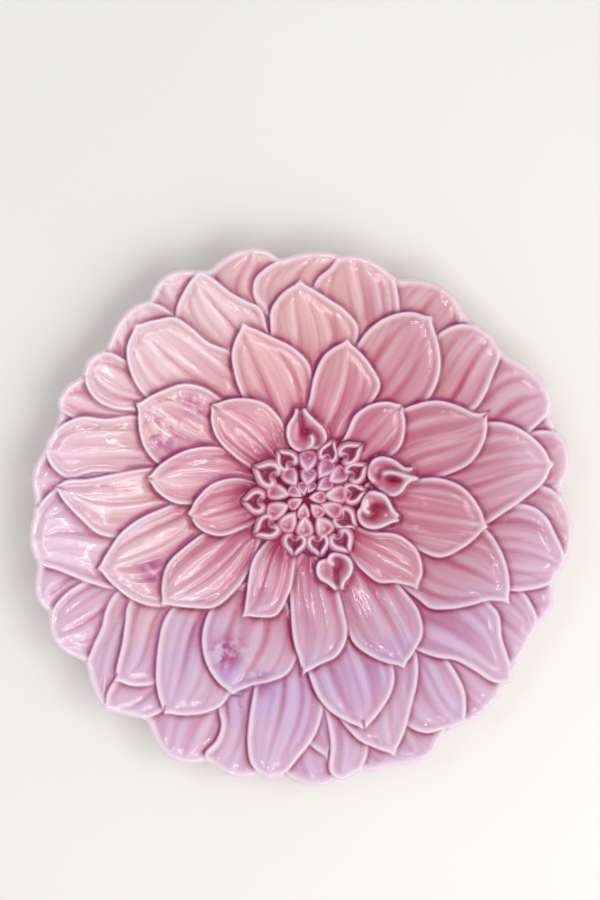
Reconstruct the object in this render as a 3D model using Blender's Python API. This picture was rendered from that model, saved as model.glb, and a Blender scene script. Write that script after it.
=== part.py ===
"""Shallow glazed ceramic bowl, moulded in relief as a wide-open dahlia.

The bowl is one casting. Its face is a height field: a turned bowl section with
overlapping petals laid over it from the rim inwards, each with a rounded bead
along its edge and a groove pressed round it. The plain back carries a foot ring.
Lengths in this file are millimetres and angles degrees until the mesh is made.
"""
import math

import bmesh
import bpy
import numpy as np
from mathutils import Vector
from mathutils.geometry import delaunay_2d_cdt

OBJECT_NAME = "dahlia_bowl"
METRES = 0.001              # one millimetre in metres

# Bowl section, turned about the vertical axis through the middle of the dish.
BOWL_RADIUS = 165.0         # mean radius of the rim
WELL_RADIUS = 34.0          # flat part under the flower's heart
WELL_Z = 11.0               # face of the well above the table
RIM_RISE = 28.0             # rise of the plain face from well to rim
WALL = 6.0                  # wall at the well
RIM_WALL = 4.4              # wall at the rim
LIP = 2.4                   # half-round lip, inwards from the edge

# Foot ring on the back.
FOOT_RADIUS = 70.0          # middle of the ring's flat face
FOOT_HALF = 3.4             # half the flat face's width
FOOT_DRAFT = 2.4            # widening of each side from table to bowl
TABLE_Z = 0.0

# The flower's heart lies off the middle of the dish.
HEART = (1.9, 11.5)

# Petal relief.
LIFT_ROOT = 0.3             # height of a petal's root above the bowl's face
LIFT_TIP = 2.6              # height of its tip
EDGE_WALL = 1.5             # width of the step at a petal's edge
BEAD = 0.9                  # height of the bead along the edge
BEAD_IN = 1.7               # from the edge to the bead's crest
BEAD_HALF = 1.25            # half width of the bead
GROOVE = 0.9                # depth of the groove outside an edge
GROOVE_WIDTH = 2.0
UNDERCUT = 1.1              # wider dip under an overlapping petal
UNDERCUT_WIDTH = 7.0
CROWN = 0.7                 # swelling along a petal's middle
HOLLOW = 2.4                # depth inside a curled petal
CURL_RIM = 2.2              # height of a curled petal's rolled rim
BUD_HEIGHT = 4.2            # height of a closed floret
ROOT_REACH = 0.78           # how far in a hidden root lies, as a part of its radius
ROOT_GATHER = 0.4           # and how far its ends draw together

# Mesh.
EDGE_STEP = 5.8             # spacing of points along the petals' edges
FIELD_STEP = 9.0            # spacing of points between them
MIN_GAP = 1.25              # closest two points may come
RIM_POINTS = 208
CREASE = 0.7                # edges bent more than this (radians) shade sharp
LIP_RINGS = 3
SMALL_STEP = 2.5            # spacing along the edges of the florets
EDGE_DEPTHS = {"petal": (-0.9, 1.6), "curl": (-0.8, 1.9), "bud": (-0.7, 1.2)}
MIDDLE_PARTS = {"curl": (0.25, 0.5, 0.75), "bud": (0.3, 0.5, 0.7)}
BORDER_GAP = 1.4            # from the border to the first point of the face
FIELD_CLEAR = 4.6           # from the petals' edges to the points between them
FOOT_SEGMENTS = 72
BACK_RINGS = ((0.01, 1), (16, 8), (32, 16), (46, 24), (57, 36), (88, 56), (104, 64), (120, 72),
              (134, 80), (147, 96))
CURVE_STEPS = 6             # straight pieces in each span of an outline
BLUNT_COSINE = -0.62        # sides that meet wider than this make a rounded tip


# Plain rim beneath the petals, seen only between their tips: (azimuth, radius)
# from the heart.
UNDER_RIM = (
    (15.7, 159.8), (37.5, 150.4), (52, 149), (67.3, 146.2), (81, 146), (94.7, 146.6), (112.2, 151.6),
    (127.9, 154), (143, 152.8), (151, 156), (165, 159.2), (182.5, 165.4), (193, 167.8), (216.3, 167.8),
    (234, 167), (248.4, 171.6), (266, 170.8), (281.4, 170.4), (300.6, 167.6), (317, 167), (326, 161.8),
    (341.8, 161), (359.2, 157.2),
)

# Petals, lowest first: (left side, tip, right side), each point as
# (azimuth, radius) from the heart, the sides read from root to tip.
RIM_PETALS = (
    (((343, 140), (342.3, 158)), (336.8, 166.4), ((329, 140), (331, 161))),
    (((16.5, 140), (16, 152), (14, 161.5)), (9, 163.9), ((1, 135), (1.5, 150), (3.6, 158.4))),
    (((3.6, 135), (3, 147), (0.2, 157.2)), (352, 165.8), ((342, 140), (343.5, 161))),
    (((36, 130), (36.6, 148), (33.6, 154), (30.5, 158.3)), (24.6, 163),
     ((14, 128), (16.3, 143), (18, 152), (19.8, 160))),
    (((69, 125), (68, 141)), (57.5, 154.4), ((46, 120), (47.4, 143), (50.4, 150.3))),
    (((50, 112), (50.8, 131), (48.6, 142)), (42.4, 151.4),
     ((27.7, 119), (30.2, 129), (33.2, 138), (36.4, 148.6))),
    (((116, 135), (114, 148.5), (109.6, 154)), (103, 156.8), ((97, 125), (95.4, 142), (97.4, 151))),
    (((101, 112), (104.2, 129), (103, 137), (99.5, 143), (95, 147.2)), (88, 150.8),
     ((80, 120), (80, 140), (82.2, 149.8))),
    (((88, 116), (87.7, 129), (86.6, 135), (84, 141)), (81.8, 149),
     ((60, 115), (62.9, 128), (65.3, 137), (67.8, 145), (72.5, 150.4), (76.8, 152.2))),
    (((129, 130), (128.9, 150), (125.6, 158.4)), (121, 160.6), ((112, 130), (112.6, 148), (115.6, 154.6))),
    (((144, 130), (142.6, 151), (138, 156)), (133.8, 157.6),
     ((124.3, 130), (125.5, 139.4), (126.6, 147), (129, 155))),
    (((161, 130), (161, 150), (159.3, 161.7)), (156.2, 161.6), ((150, 130), (151, 152), (153.6, 159.4))),
    (((152.5, 115), (155, 130), (154.8, 141), (152.9, 149.6)), (148.4, 158),
     ((141, 120), (142.2, 139), (142.9, 148), (145.2, 155.8))),
    (((184, 135), (182, 160)), (176.8, 166.8), ((168, 135), (169, 160))),
    (((206, 140), (206.5, 165)), (200.6, 174.4), ((192, 140), (192.6, 163), (196.4, 171.4))),
    (((218, 130), (219, 155), (215, 170)), (209.4, 176),
     ((200, 125), (200.5, 142), (201.6, 157), (203.2, 166), (205.6, 173))),
    (((204, 110), (205, 131), (202.8, 137.8), (200, 145.7), (196.5, 156), (193.4, 167.6)), (188.5, 169.8),
     ((176, 120), (177, 150), (179.4, 157.5), (183, 165))),
    (((222, 130), (227, 150), (229, 165)), (226, 178.6),
     ((206.4, 118), (206.8, 131), (209, 139), (212.3, 147), (214.5, 156), (217.3, 167), (220.8, 172.6))),
    (((252, 140), (251, 160), (248.6, 173)), (242.6, 178.4), ((232, 140), (233.3, 160), (236.8, 171))),
    (((238, 130), (237, 152), (233.8, 166.4), (230.4, 171.6)), (226.4, 178),
     ((221, 130), (223.4, 158), (224.4, 168))),
    (((262, 140), (262, 160), (259.4, 172.6)), (254.5, 174.9),
     ((246, 125), (247.9, 140), (249.8, 148), (249.9, 157), (248.6, 167))),
    (((277, 145), (278, 165), (275.6, 174.4)), (272.2, 176), ((264, 140), (264.5, 160), (267.4, 172))),
    (((276, 135), (276.5, 150)), (275.2, 160), ((268, 135), (269.5, 146), (272, 152.6))),
    (((303, 140), (302.6, 161), (299.2, 169.4), (296.4, 174.6)), (292.8, 175.2),
     ((279, 140), (280.4, 160), (283, 171.2), (287.6, 172))),
    (((286, 130), (285, 150), (283.4, 163), (281, 170.4)), (277.6, 174.8),
     ((275, 120), (275.7, 134), (276.1, 150), (275.5, 169))),
    (((318, 130), (318.4, 154), (316, 167.6)), (311, 170.2), ((302, 130), (303, 156), (306, 169.6))),
    (((338, 128), (336.4, 148), (334.8, 154), (332, 161.6)), (327.4, 162.8),
     ((318, 128), (319.5, 154), (322.4, 163.6))),
)

OUTER_PETALS = (
    (((357, 116), (358.6, 134), (357.8, 141), (355.6, 148.4), (352.1, 154.6)), (347, 162.6),
     ((334, 116), (334.6, 130), (335.7, 138), (337.7, 148), (341, 159))),
    (((228, 108), (231.6, 134), (231, 146), (228.2, 154)), (223.6, 161.6),
     ((209, 108), (210.8, 126), (215.2, 135), (218.3, 142.4), (221.4, 152.7))),
    (((248, 108), (249.2, 129), (248.4, 136), (245.2, 144.9), (241.5, 151)), (236.7, 157.5),
     ((219, 98), (221.3, 116), (224.5, 125.7), (227.9, 135.7), (231.4, 145.6))),
    (((274, 108), (275, 129.8), (273.5, 140.7), (271.4, 149.6), (268.8, 158), (266, 167.8)), (262.4, 173.6),
     ((254.5, 108), (255.2, 123.4), (255.9, 140.4), (256.9, 154.3), (258.5, 165))),
    (((312, 112), (311.8, 127), (311, 142), (309.6, 154), (307.4, 162.4)), (305.3, 169.8),
     ((296, 112), (294, 140), (294.6, 153.6), (297.2, 161), (301.6, 165))),
    (((308, 103), (305.6, 119), (301.8, 131.6), (297.6, 142.1), (294.3, 152)), (289.3, 166.4),
     ((276, 112), (278, 132), (280.2, 142), (282.8, 152), (285.7, 158.3))),
    (((172, 100), (173, 130), (175, 147), (173, 155)), (168.6, 161.6),
     ((152, 98), (154, 116), (158, 131), (159.9, 145.8), (161.7, 151.6), (164.4, 157.6))),
)

UPPER_PETALS = (
    (((333, 108), (331, 126), (329.4, 138), (324.9, 147.6), (321.9, 158.5)), (318.9, 171.2),
     ((302, 103), (306.4, 116.3), (309.9, 127.7), (312.8, 135.2), (314.6, 148), (315.8, 161))),
    (((352, 98), (350.1, 114.2), (346.1, 123.1), (342.1, 130), (337.5, 136)), (332.8, 141),
     ((317.5, 80), (318.2, 93), (318.7, 103), (322.2, 111.6), (327.1, 121.4), (331, 129.6))),
    (((297, 93), (298.2, 111), (296.8, 123), (293.5, 131.8), (289.8, 138)), (284.6, 146.8),
     ((269, 88), (271.5, 110), (273.6, 121.6), (277.2, 132.6), (281.4, 140.4))),
    (((268, 83), (267, 100), (264.6, 108.5), (259.4, 115), (254.2, 120)), (249.8, 128.8),
     ((229, 78), (231.3, 99), (234.3, 108.5), (238.9, 117.7), (244, 124.2))),
    (((192, 88), (192.2, 117), (189.8, 128.6), (185.4, 137.6), (181, 146.6)), (177.2, 153.8),
     ((166.5, 73), (169.2, 98.8), (172.6, 118), (174.8, 134), (175.7, 147))),
    (((219, 83), (219.6, 103), (215.6, 114.6), (210.4, 123), (204.8, 128.6)), (198.6, 134.4),
     ((180, 68), (184, 88), (187.6, 105), (191, 116), (194.6, 124))),
    (((122, 83), (126, 118), (126.6, 132), (123.6, 141), (119.6, 147.4)), (114.6, 154.6),
     ((100, 78), (102.2, 108), (103, 120), (106.2, 126), (109.6, 134), (112.2, 144.5))),
    (((148, 83), (148, 111), (146.6, 122), (143.4, 134), (140.4, 141.4)), (134.2, 148.4),
     ((112, 72), (116.9, 101.4), (121.6, 113), (123.6, 126.6), (125.6, 136.6), (129.6, 142))),
    (((104, 78), (101.6, 105), (100, 118), (97, 125)), (91.2, 133.6),
     ((73, 78), (71.3, 100), (72.6, 110.4), (77.4, 117.8), (84, 124.2))),
    (((74, 78), (71.4, 98), (69, 112), (65, 123.6), (61, 130.6)), (55, 135.8),
     ((37, 78), (39.8, 104), (43.6, 115.4), (48.6, 124.6), (52.6, 130.8))),
    (((24, 83), (24, 113), (20.6, 131.6), (16.4, 142), (12.4, 148.6)), (7.8, 153.4),
     ((351, 83), (351.9, 112.9), (355.7, 122.6), (0.2, 135.6), (3.6, 146))),
    (((170, 73), (167.6, 91), (162.6, 103.4), (157.7, 110), (153.8, 114.2)), (150.8, 119),
     ((128, 62), (129.8, 79), (132.2, 92.4), (136.4, 102.4), (143, 110))),
)

MIDDLE_PETALS = (
    (((125, 42), (121.8, 73), (119.6, 88), (116.5, 100.4), (112.4, 108.6)), (109.4, 114.4),
     ((84, 48), (85.6, 72), (88.4, 83.8), (94.2, 93), (102, 102.2))),
    (((93, 38), (87.2, 62), (85.4, 77), (82.6, 88)), (75, 101.6),
     ((52, 43), (54.4, 70), (56, 83.8), (63.5, 91.6))),
    (((44, 68), (41, 87), (36.4, 101.6), (31, 110.6), (26.6, 117.4)), (25.4, 125),
     ((8, 68), (9.3, 90), (12, 104.6), (17.4, 115.6))),
    (((16, 43), (10, 66), (8.8, 83), (4.2, 97.4), (357.4, 107.4)), (351, 114.2),
     ((333, 48), (335.2, 72), (336.6, 92.4), (342.2, 101.8))),
    (((318, 53), (317.4, 82), (315.2, 100), (311.2, 110.6), (305.6, 116)), (300.4, 121),
     ((291, 43), (288.6, 72), (289, 96), (293.4, 107.2))),
    (((289, 48), (289.4, 72), (286.6, 91), (281.6, 99.6), (275, 103.4)), (269, 109.8),
     ((260, 43), (262.9, 70), (265.8, 90), (268.2, 101))),
    (((231, 48), (233.6, 70), (230.4, 88), (223.9, 97.7)), (216.8, 109.8),
     ((198, 48), (201.6, 78), (206.4, 95.6), (212, 104))),
    (((188, 43), (183.9, 66), (182, 81.4), (178, 90.4)), (172.7, 98.4),
     ((144, 38), (151.4, 67), (158.2, 79.4), (166.2, 90.6))),
)

INNER_PETALS = (
    (((56, 26), (57.2, 47), (58.8, 60), (53.8, 72.6), (48.4, 79.6)), (43.6, 83.6),
     ((26, 33), (24.4, 52), (28.2, 67.6), (36.4, 77.4))),
    (((151, 26), (149.8, 50), (144.8, 68), (140, 75.6)), (135, 82),
     ((106, 28), (106.2, 49), (112.4, 63.3), (123.6, 74.2))),
    (((207, 23), (207, 43), (204.2, 58), (196.6, 67.8)), (187.8, 73.4),
     ((160, 23), (164.2, 46), (171.6, 58.4), (180, 66.6))),
    (((262, 33), (261, 60), (256, 75.4), (248, 79.6)), (242.2, 83),
     ((227, 26), (230.8, 52), (235.6, 62), (239.6, 71.6))),
    (((330, 26), (334, 47), (338.8, 62), (334.6, 78), (327.6, 86.4)), (321, 89.6),
     ((311, 28), (308.2, 56), (311.6, 70.4), (317, 77))),
)

# Petals rolled in on themselves: (azimuth, radius, length, width, lean).
LARGE_CURLS = (
    (88.6, 41.5, 28, 25, 2), (13.6, 55.0, 32, 21, -8), (349.6, 46.0, 27, 23, 12), (292.2, 47.5, 24, 24, 4),
)
SMALL_CURLS = (
    (116.5, 27.0, 15, 12.5, 14), (147.0, 28.5, 18, 15.5, 8), (184.0, 31.5, 15, 14, -4),
    (217.5, 30.5, 17, 14.5, -6), (258.0, 29.5, 15, 14, 8), (286.8, 30.6, 14.5, 13, -8),
    (311.0, 36.0, 16, 14, -8), (332.0, 29.4, 16, 14, -8), (6.0, 31.5, 15, 12.5, 4),
    (27.2, 36.6, 15, 12.5, 6), (44.4, 40.6, 17, 12.5, -10), (62.0, 33.0, 15, 11.5, 8),
)
# Closed florets: (azimuth, radius, length, width).
OUTER_BUDS = (
    (85, 22.6, 12.4, 10.2), (54.6, 22.0, 12, 9.6), (33.8, 24.6, 12, 10), (6.2, 19.4, 12.5, 9.6),
    (338, 18.0, 12.5, 9), (304, 20.8, 11.5, 10.4), (270.6, 17.6, 11.5, 9.4), (236.8, 17.4, 12, 9.6),
    (203.8, 18.0, 13, 9.6), (167.6, 16.6, 13, 9), (123.6, 15.4, 11, 9),
)
INNER_BUDS = (
    (75, 13.4, 10.5, 7), (33, 13.8, 10, 7.4), (4, 8.2, 8, 6), (315, 11.0, 9, 6.4), (266, 8.6, 8, 6),
    (209, 6.6, 7, 5.2), (142, 6.8, 7, 5.4), (86, 6.4, 6, 5),
)


def polar(azimuth, radius):
    """Point on the dish, azimuth and radius from the flower's heart."""
    angle = math.radians(azimuth)
    return np.array((HEART[0] + radius * math.cos(angle), HEART[1] + radius * math.sin(angle)))


def smooth_line(points, steps=CURVE_STEPS):
    """Open curve through the points, its ends free (Catmull-Rom, chord spaced)."""
    points = np.array(points, dtype=float)
    gaps = np.linalg.norm(np.diff(points, axis=0), axis=1)
    slopes = np.diff(points, axis=0) / gaps[:, None]
    tangents = np.empty_like(points)
    tangents[0], tangents[-1] = slopes[0], slopes[-1]
    weights = (gaps[1:] / (gaps[1:] + gaps[:-1]))[:, None]
    tangents[1:-1] = slopes[:-1] * weights + slopes[1:] * (1 - weights)
    t = (np.arange(steps) / steps)[:, None]
    spans = []
    for a, b, ta, tb, gap in zip(points[:-1], points[1:], tangents[:-1], tangents[1:], gaps):
        spans.append((2 * t**3 - 3 * t**2 + 1) * a + (t**3 - 2 * t**2 + t) * gap * ta
                     + (3 * t**2 - 2 * t**3) * b + (t**3 - t**2) * gap * tb)
    return np.vstack(spans + [points[-1:]])


def distance_to_line(xy, line):
    """Shortest distance from each point to a polyline."""
    best = np.full(len(xy), np.inf)
    for a, b in zip(line[:-1], line[1:]):
        run = b - a
        along = np.clip((xy - a) @ run / (run @ run + 1e-9), 0.0, 1.0)
        best = np.minimum(best, np.hypot(*(xy - a - along[:, None] * run).T))
    return best


def inside(xy, loop):
    """Whether each point lies inside a closed loop."""
    within = np.zeros(len(xy), dtype=bool)
    x, y = xy.T
    for (ax, ay), (bx, by) in zip(loop, np.roll(loop, -1, axis=0)):
        crosses = (ay > y) != (by > y)
        rise = by - ay if by != ay else 1e-9
        within ^= crosses & (x < (bx - ax) * (y - ay) / rise + ax)
    return within


def smoothstep(value):
    """0 below 0, 1 above 1, smooth between."""
    value = np.clip(value, 0.0, 1.0)
    return value * value * (3 - 2 * value)


def hump(value):
    """Rounded bump, 1 at 0 and near 0 past 2."""
    return np.exp(-value * value)


def two_sides(left, tip, right):
    """Both sides from root to tip, running smoothly through a blunt tip."""
    toward_left = (left[-1] - tip) / np.linalg.norm(left[-1] - tip)
    toward_right = (right[-1] - tip) / np.linalg.norm(right[-1] - tip)
    if toward_left @ toward_right > BLUNT_COSINE:
        return smooth_line([*left, tip]), smooth_line([*right, tip])
    whole = smooth_line([*left, tip, *right[::-1]])
    turn = len(left) * CURVE_STEPS
    return whole[:turn + 1], whole[:turn - 1:-1]


class Petal:
    """One moulded shape: two sides that meet at a tip, closed across the root."""

    def __init__(self, left, tip, right, scale=1.0, kind="petal", root=None):
        self.left, self.right = two_sides(left, tip, right)
        self.loop = np.vstack([self.left, self.right[-2::-1]])
        self.root = (self.left[0] + self.right[0]) / 2 if root is None else root
        self.tip = self.left[-1]
        self.scale, self.kind = scale, kind
        self.low = self.loop.min(axis=0)
        self.high = self.loop.max(axis=0)

    def near(self, xy, margin):
        """Points in the petal's own box, grown by a margin."""
        return np.all((xy > self.low - margin) & (xy < self.high + margin), axis=1)

    def measure(self, xy):
        """Signed distance inside the whole loop, and distances to the two sides."""
        to_left = distance_to_line(xy, self.left)
        to_right = distance_to_line(xy, self.right)
        to_root = distance_to_line(xy, np.array([self.left[0], self.right[0]]))
        sign = np.where(inside(xy, self.loop), 1.0, -1.0)
        return sign * np.minimum(np.minimum(to_left, to_right), to_root), to_left, to_right

    def relief(self, xy, signed, to_left, to_right):
        """Height above the bowl's face inside the petal."""
        edge = np.minimum(to_left, to_right)
        size = self.scale
        if self.kind == "bud":
            width = np.minimum(edge / (0.5 * self.width), 1.0)
            return LIFT_TIP + BUD_HEIGHT * size * np.sqrt(np.clip(1 - (1 - width)**2, 0, 1))
        if self.kind == "curl":
            rim = CURL_RIM * size * hump((edge - 2.1 * size) / (1.6 * size))
            return LIFT_TIP + 1.2 + rim - HOLLOW * size * smoothstep((edge - 2.6 * size) / (2.4 * size))
        axis = self.tip - self.root
        along = np.clip((xy - self.root) @ axis / (axis @ axis), 0.0, 1.0)
        across = (to_left - to_right) / np.maximum(to_left + to_right, 1e-6)
        bead = BEAD * size * hump((edge - BEAD_IN * size) / (BEAD_HALF * size))
        crown = CROWN * size * (1 - across**2) * smoothstep(edge / 9.0)
        return LIFT_ROOT + (LIFT_TIP - LIFT_ROOT) * along + bead + crown


def tucked(left, right):
    """Both sides carried on inwards, so that the root lies hidden under the next ring."""
    middle = left[0][0] + ((right[0][0] - left[0][0] + 180) % 360 - 180) / 2
    sides = []
    for side in (left, right):
        azimuth, radius = side[0]
        turn = (middle - azimuth + 180) % 360 - 180
        sides.append(((azimuth + ROOT_GATHER * turn, ROOT_REACH * radius), *side))
    return sides


def flower():
    """Every moulded shape, lowest first."""
    shapes = []
    for ring, scale in ((RIM_PETALS, 1.0), (OUTER_PETALS, 1.0), (UPPER_PETALS, 1.0),
                        (MIDDLE_PETALS, 0.95), (INNER_PETALS, 0.85)):
        for left, tip, right in ring:
            root = (polar(*left[0]) + polar(*right[0])) / 2
            if ring is not INNER_PETALS:
                left, right = tucked(left, right)
            shapes.append(Petal([polar(*p) for p in left], polar(*tip), [polar(*p) for p in right],
                                scale, root=root))
    for curls, scale in ((LARGE_CURLS, 1.0), (SMALL_CURLS, 0.8)):
        for azimuth, radius, length, width, lean in curls:
            shapes.append(curl(polar(azimuth, radius), azimuth + lean, length, width, scale))
    for buds in (OUTER_BUDS, INNER_BUDS):
        for azimuth, radius, length, width in buds:
            shapes.append(bud(polar(azimuth, radius), azimuth, length, width))
    return shapes


def placed(points, centre, azimuth, length, width):
    """Points of a unit shape, its tip along +X, laid on the dish."""
    angle = math.radians(azimuth)
    out = np.array((math.cos(angle), math.sin(angle)))
    side = np.array((-out[1], out[0]))
    return [centre + out * x * length + side * y * width for x, y in points]


def curl(centre, azimuth, length, width, scale):
    """Heart-shaped rolled petal, pointing outwards, its two lobes towards the heart."""
    half = ((-0.26, 0.0), (-0.42, 0.17), (-0.40, 0.36), (-0.22, 0.49), (0.02, 0.47), (0.28, 0.24))
    left = placed(half, centre, azimuth, length, width)
    right = placed([(x, -y) for x, y in half], centre, azimuth, length, width)
    tip = placed([(0.5, 0.0)], centre, azimuth, length, width)[0]
    return Petal(left, tip, right, scale, "curl")


def bud(centre, azimuth, length, width):
    """Closed floret, round outside and pointed towards the heart."""
    half = ((-0.5, 0.0), (-0.28, 0.26), (0.02, 0.46), (0.28, 0.44), (0.45, 0.22))
    left = placed(half, centre, azimuth, length, width)
    right = placed([(x, -y) for x, y in half], centre, azimuth, length, width)
    tip = placed([(0.5, 0.0)], centre, azimuth, length, width)[0]
    shape = Petal(left, tip, right, width / 10.0, "bud")
    shape.width = width
    return shape


def face_section(rho):
    """Plain face of the bowl, by distance from the middle of the dish."""
    x = np.clip((rho - WELL_RADIUS) / (BOWL_RADIUS - WELL_RADIUS), 0.0, 1.1)
    return WELL_Z + RIM_RISE * x * x * (1.9 - 0.9 * x)


def back_section(rho):
    """Underside, with the foot ring standing out of it."""
    x = np.clip(rho / BOWL_RADIUS, 0.0, 1.0)
    plain = face_section(rho) - (WALL + (RIM_WALL - WALL) * smoothstep((x - 0.6) / 0.4))
    beyond = np.maximum(np.abs(rho - FOOT_RADIUS) - FOOT_HALF, 0.0)
    foot = TABLE_Z + beyond / FOOT_DRAFT * WELL_Z
    return np.minimum(plain, np.maximum(foot, TABLE_Z))


def raise_face(xy, shapes):
    """Height of the moulded face at each point."""
    height = face_section(np.hypot(*xy.T))
    face = height.copy()
    groove = np.zeros(len(xy))
    for shape in shapes:
        near = shape.near(xy, 3 * UNDERCUT_WIDTH)
        signed, to_left, to_right = shape.measure(xy[near])
        cover = smoothstep((signed + EDGE_WALL / 2) / EDGE_WALL)
        top = face[near] + shape.relief(xy[near], signed, to_left, to_right)
        height[near] = height[near] * (1 - cover) + top * cover
        outside = np.maximum(-signed, 0.0)
        dip = shape.scale * (GROOVE * hump(outside / GROOVE_WIDTH) + UNDERCUT * np.exp(-outside / UNDERCUT_WIDTH))
        groove[near] = np.maximum(groove[near] * (1 - cover), dip * (1 - cover))
    return height - groove


def rim_radii(shapes, azimuths):
    """Outermost reach of the petals from the heart along each azimuth."""
    under = np.array(UNDER_RIM)
    reach = np.interp(np.degrees(azimuths), under[:, 0], under[:, 1], period=360.0)
    ray_x, ray_y = np.cos(azimuths), np.sin(azimuths)
    for shape in shapes:
        loop = shape.loop - HEART
        for (ax, ay), (bx, by) in zip(loop, np.roll(loop, -1, axis=0)):
            run_x, run_y = bx - ax, by - ay
            cross = ray_x * run_y - ray_y * run_x
            cross = np.where(np.abs(cross) < 1e-9, 1e-9, cross)
            out = (ax * run_y - ay * run_x) / cross
            part = (ax * ray_y - ay * ray_x) / cross
            hit = (part >= 0) & (part <= 1) & (out > 0)
            reach = np.where(hit, np.maximum(reach, out), reach)
    return reach


def rim_loop(shapes, count):
    """Scalloped rim as evenly spaced points, softened where scallops meet."""
    fine = 2880
    azimuths = np.arange(fine) * 2 * math.pi / fine
    reach = rim_radii(shapes, azimuths)
    for _ in range(3):
        window = np.ones(9) / 9
        reach = np.convolve(np.concatenate([reach[-4:], reach, reach[:4]]), window, "valid")
    loop = np.array(HEART) + reach[:, None] * np.column_stack([np.cos(azimuths), np.sin(azimuths)])
    return resample(loop, count)


def resample(loop, count):
    """Closed loop with evenly spaced points."""
    closed = np.vstack([loop, loop[:1]])
    run = np.concatenate([[0.0], np.cumsum(np.linalg.norm(np.diff(closed, axis=0), axis=1))])
    marks = np.linspace(0.0, run[-1], count, endpoint=False)
    return np.column_stack([np.interp(marks, run, closed[:, i]) for i in (0, 1)])


def inward(loop, depth):
    """Loop moved in by a depth along its normals (the loop runs counter-clockwise)."""
    tangent = np.roll(loop, -2, axis=0) - np.roll(loop, 2, axis=0)
    tangent /= np.linalg.norm(tangent, axis=1)[:, None]
    return loop + depth * np.column_stack([-tangent[:, 1], tangent[:, 0]])


def offset_line(side, depth, step):
    """Points along a side, moved towards the petal's middle by a depth."""
    run = np.concatenate([[0.0], np.cumsum(np.linalg.norm(np.diff(side, axis=0), axis=1))])
    count = max(int(round(run[-1] / step)), 2)
    marks = np.linspace(0.0, run[-1], count + 1)
    points = np.column_stack([np.interp(marks, run, side[:, i]) for i in (0, 1)])
    tangent = np.gradient(points, axis=0)
    tangent /= np.linalg.norm(tangent, axis=1)[:, None]
    return points + depth * np.column_stack([tangent[:, 1], -tangent[:, 0]])


def edge_lines(shape, depths, step):
    """Lines beside a petal's two sides: negative depths lie outside it."""
    lines = []
    for depth in depths:
        for side, turn in ((shape.left, 1), (shape.right, -1)):
            points = offset_line(side, turn * depth, step)
            signed = shape.measure(points)[0]
            lines.append(points[signed * np.sign(depth) > abs(depth) - 0.12])
    return lines


def middle_line(shape):
    """Points down the middle of a small shape."""
    parts = np.array(MIDDLE_PARTS[shape.kind])[:, None]
    return shape.root * (1 - parts) + shape.tip * parts


def uncovered(line, above):
    """Which points of a line no higher shape covers."""
    seen = np.ones(len(line), dtype=bool)
    for shape in above:
        near = shape.near(line, 0.0)
        if near.any():
            seen[near] &= ~inside(line[near], shape.loop)
    return seen


def face_layout(shapes, border):
    """Points of the moulded face and the lines the mesh must follow."""
    keep = inward(border, BORDER_GAP)
    points, links = np.empty((0, 2)), []
    for index in reversed(range(len(shapes))):
        shape = shapes[index]
        small = shape.kind != "petal"
        lines = edge_lines(shape, EDGE_DEPTHS[shape.kind], SMALL_STEP if small else EDGE_STEP)
        if small:
            lines.append(middle_line(shape))
        for line in lines:
            seen = inside(line, keep) & uncovered(line, shapes[index + 1:])
            last = None
            for point in line[seen]:
                if len(points) and np.hypot(*(points - point).T).min() < MIN_GAP:
                    continue
                points = np.vstack([points, point])
                here = len(points) - 1
                if last is not None and math.dist(points[last], point) < 1.5 * EDGE_STEP:
                    links.append((last, here))
                last = here
    return points, links


def fill_points(points, border, step, clear):
    """Hexagonal spread of points inside the border, clear of the ones given."""
    keep = inward(border, clear)
    low, high = border.min(axis=0), border.max(axis=0)
    rows = np.arange(low[1], high[1], step * math.sqrt(0.75))
    grid = [(x + (row % 2) * step / 2, y) for row, y in enumerate(rows)
            for x in np.arange(low[0], high[0], step)]
    grid = np.array(grid)
    grid = grid[inside(grid, keep)]
    gap = np.array([np.hypot(*(points - p).T).min() for p in grid])
    return grid[gap > clear]


def ring(radius, count, twist=0.0):
    """Evenly spaced points on a circle about the middle of the dish."""
    angles = (np.arange(count) + twist) * 2 * math.pi / count
    return radius * np.column_stack([np.cos(angles), np.sin(angles)])


def back_layout():
    """Circles of points for the underside, tight about the foot ring."""
    inner, outer = FOOT_RADIUS - FOOT_HALF, FOOT_RADIUS + FOOT_HALF
    spread = np.linspace(0.0, 30.0, 1501)
    foots = []
    for side, edge in ((-1, inner), (1, outer)):
        rho = edge + side * spread
        plain = face_section(rho) - (WALL + (RIM_WALL - WALL) * smoothstep((rho / BOWL_RADIUS - 0.6) / 0.4))
        touch = np.argmax(spread / FOOT_DRAFT * WELL_Z >= plain)
        foots.append(rho[touch])
    points, links = [], []
    for radius in (foots[0], inner, outer, foots[1]):
        circle = ring(radius, FOOT_SEGMENTS)
        first = len(points)
        points.extend(circle)
        links.extend((first + i, first + (i + 1) % FOOT_SEGMENTS) for i in range(FOOT_SEGMENTS))
    for radius, count in BACK_RINGS:
        points.extend(ring(radius, count, 0.5))
    return points, links


def triangulate(border, points, links):
    """Triangles filling the border through all points: coordinates and corners."""
    count = len(border)
    coords = [*border, *points]
    edges = [(a + count, b + count) for a, b in links]
    edges += [(i, (i + 1) % count) for i in range(count)]
    vectors = [Vector((float(x), float(y))) for x, y in coords]
    found, _, corners, sources, _, _ = delaunay_2d_cdt(vectors, edges, [], 0, 1e-5, True)
    found = np.array([tuple(v) for v in found])
    within = inside(found[np.array(corners)].mean(axis=1), np.array(border))
    return found, [tuple(f) for f, kept in zip(corners, within) if kept], sources


def rim_index(sources, count):
    """Where each border point ended up in the triangulated points."""
    found = {}
    for new, old in enumerate(sources):
        for index in old:
            if index < count:
                found[index] = new
    return [found[i] for i in range(count)]


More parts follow.
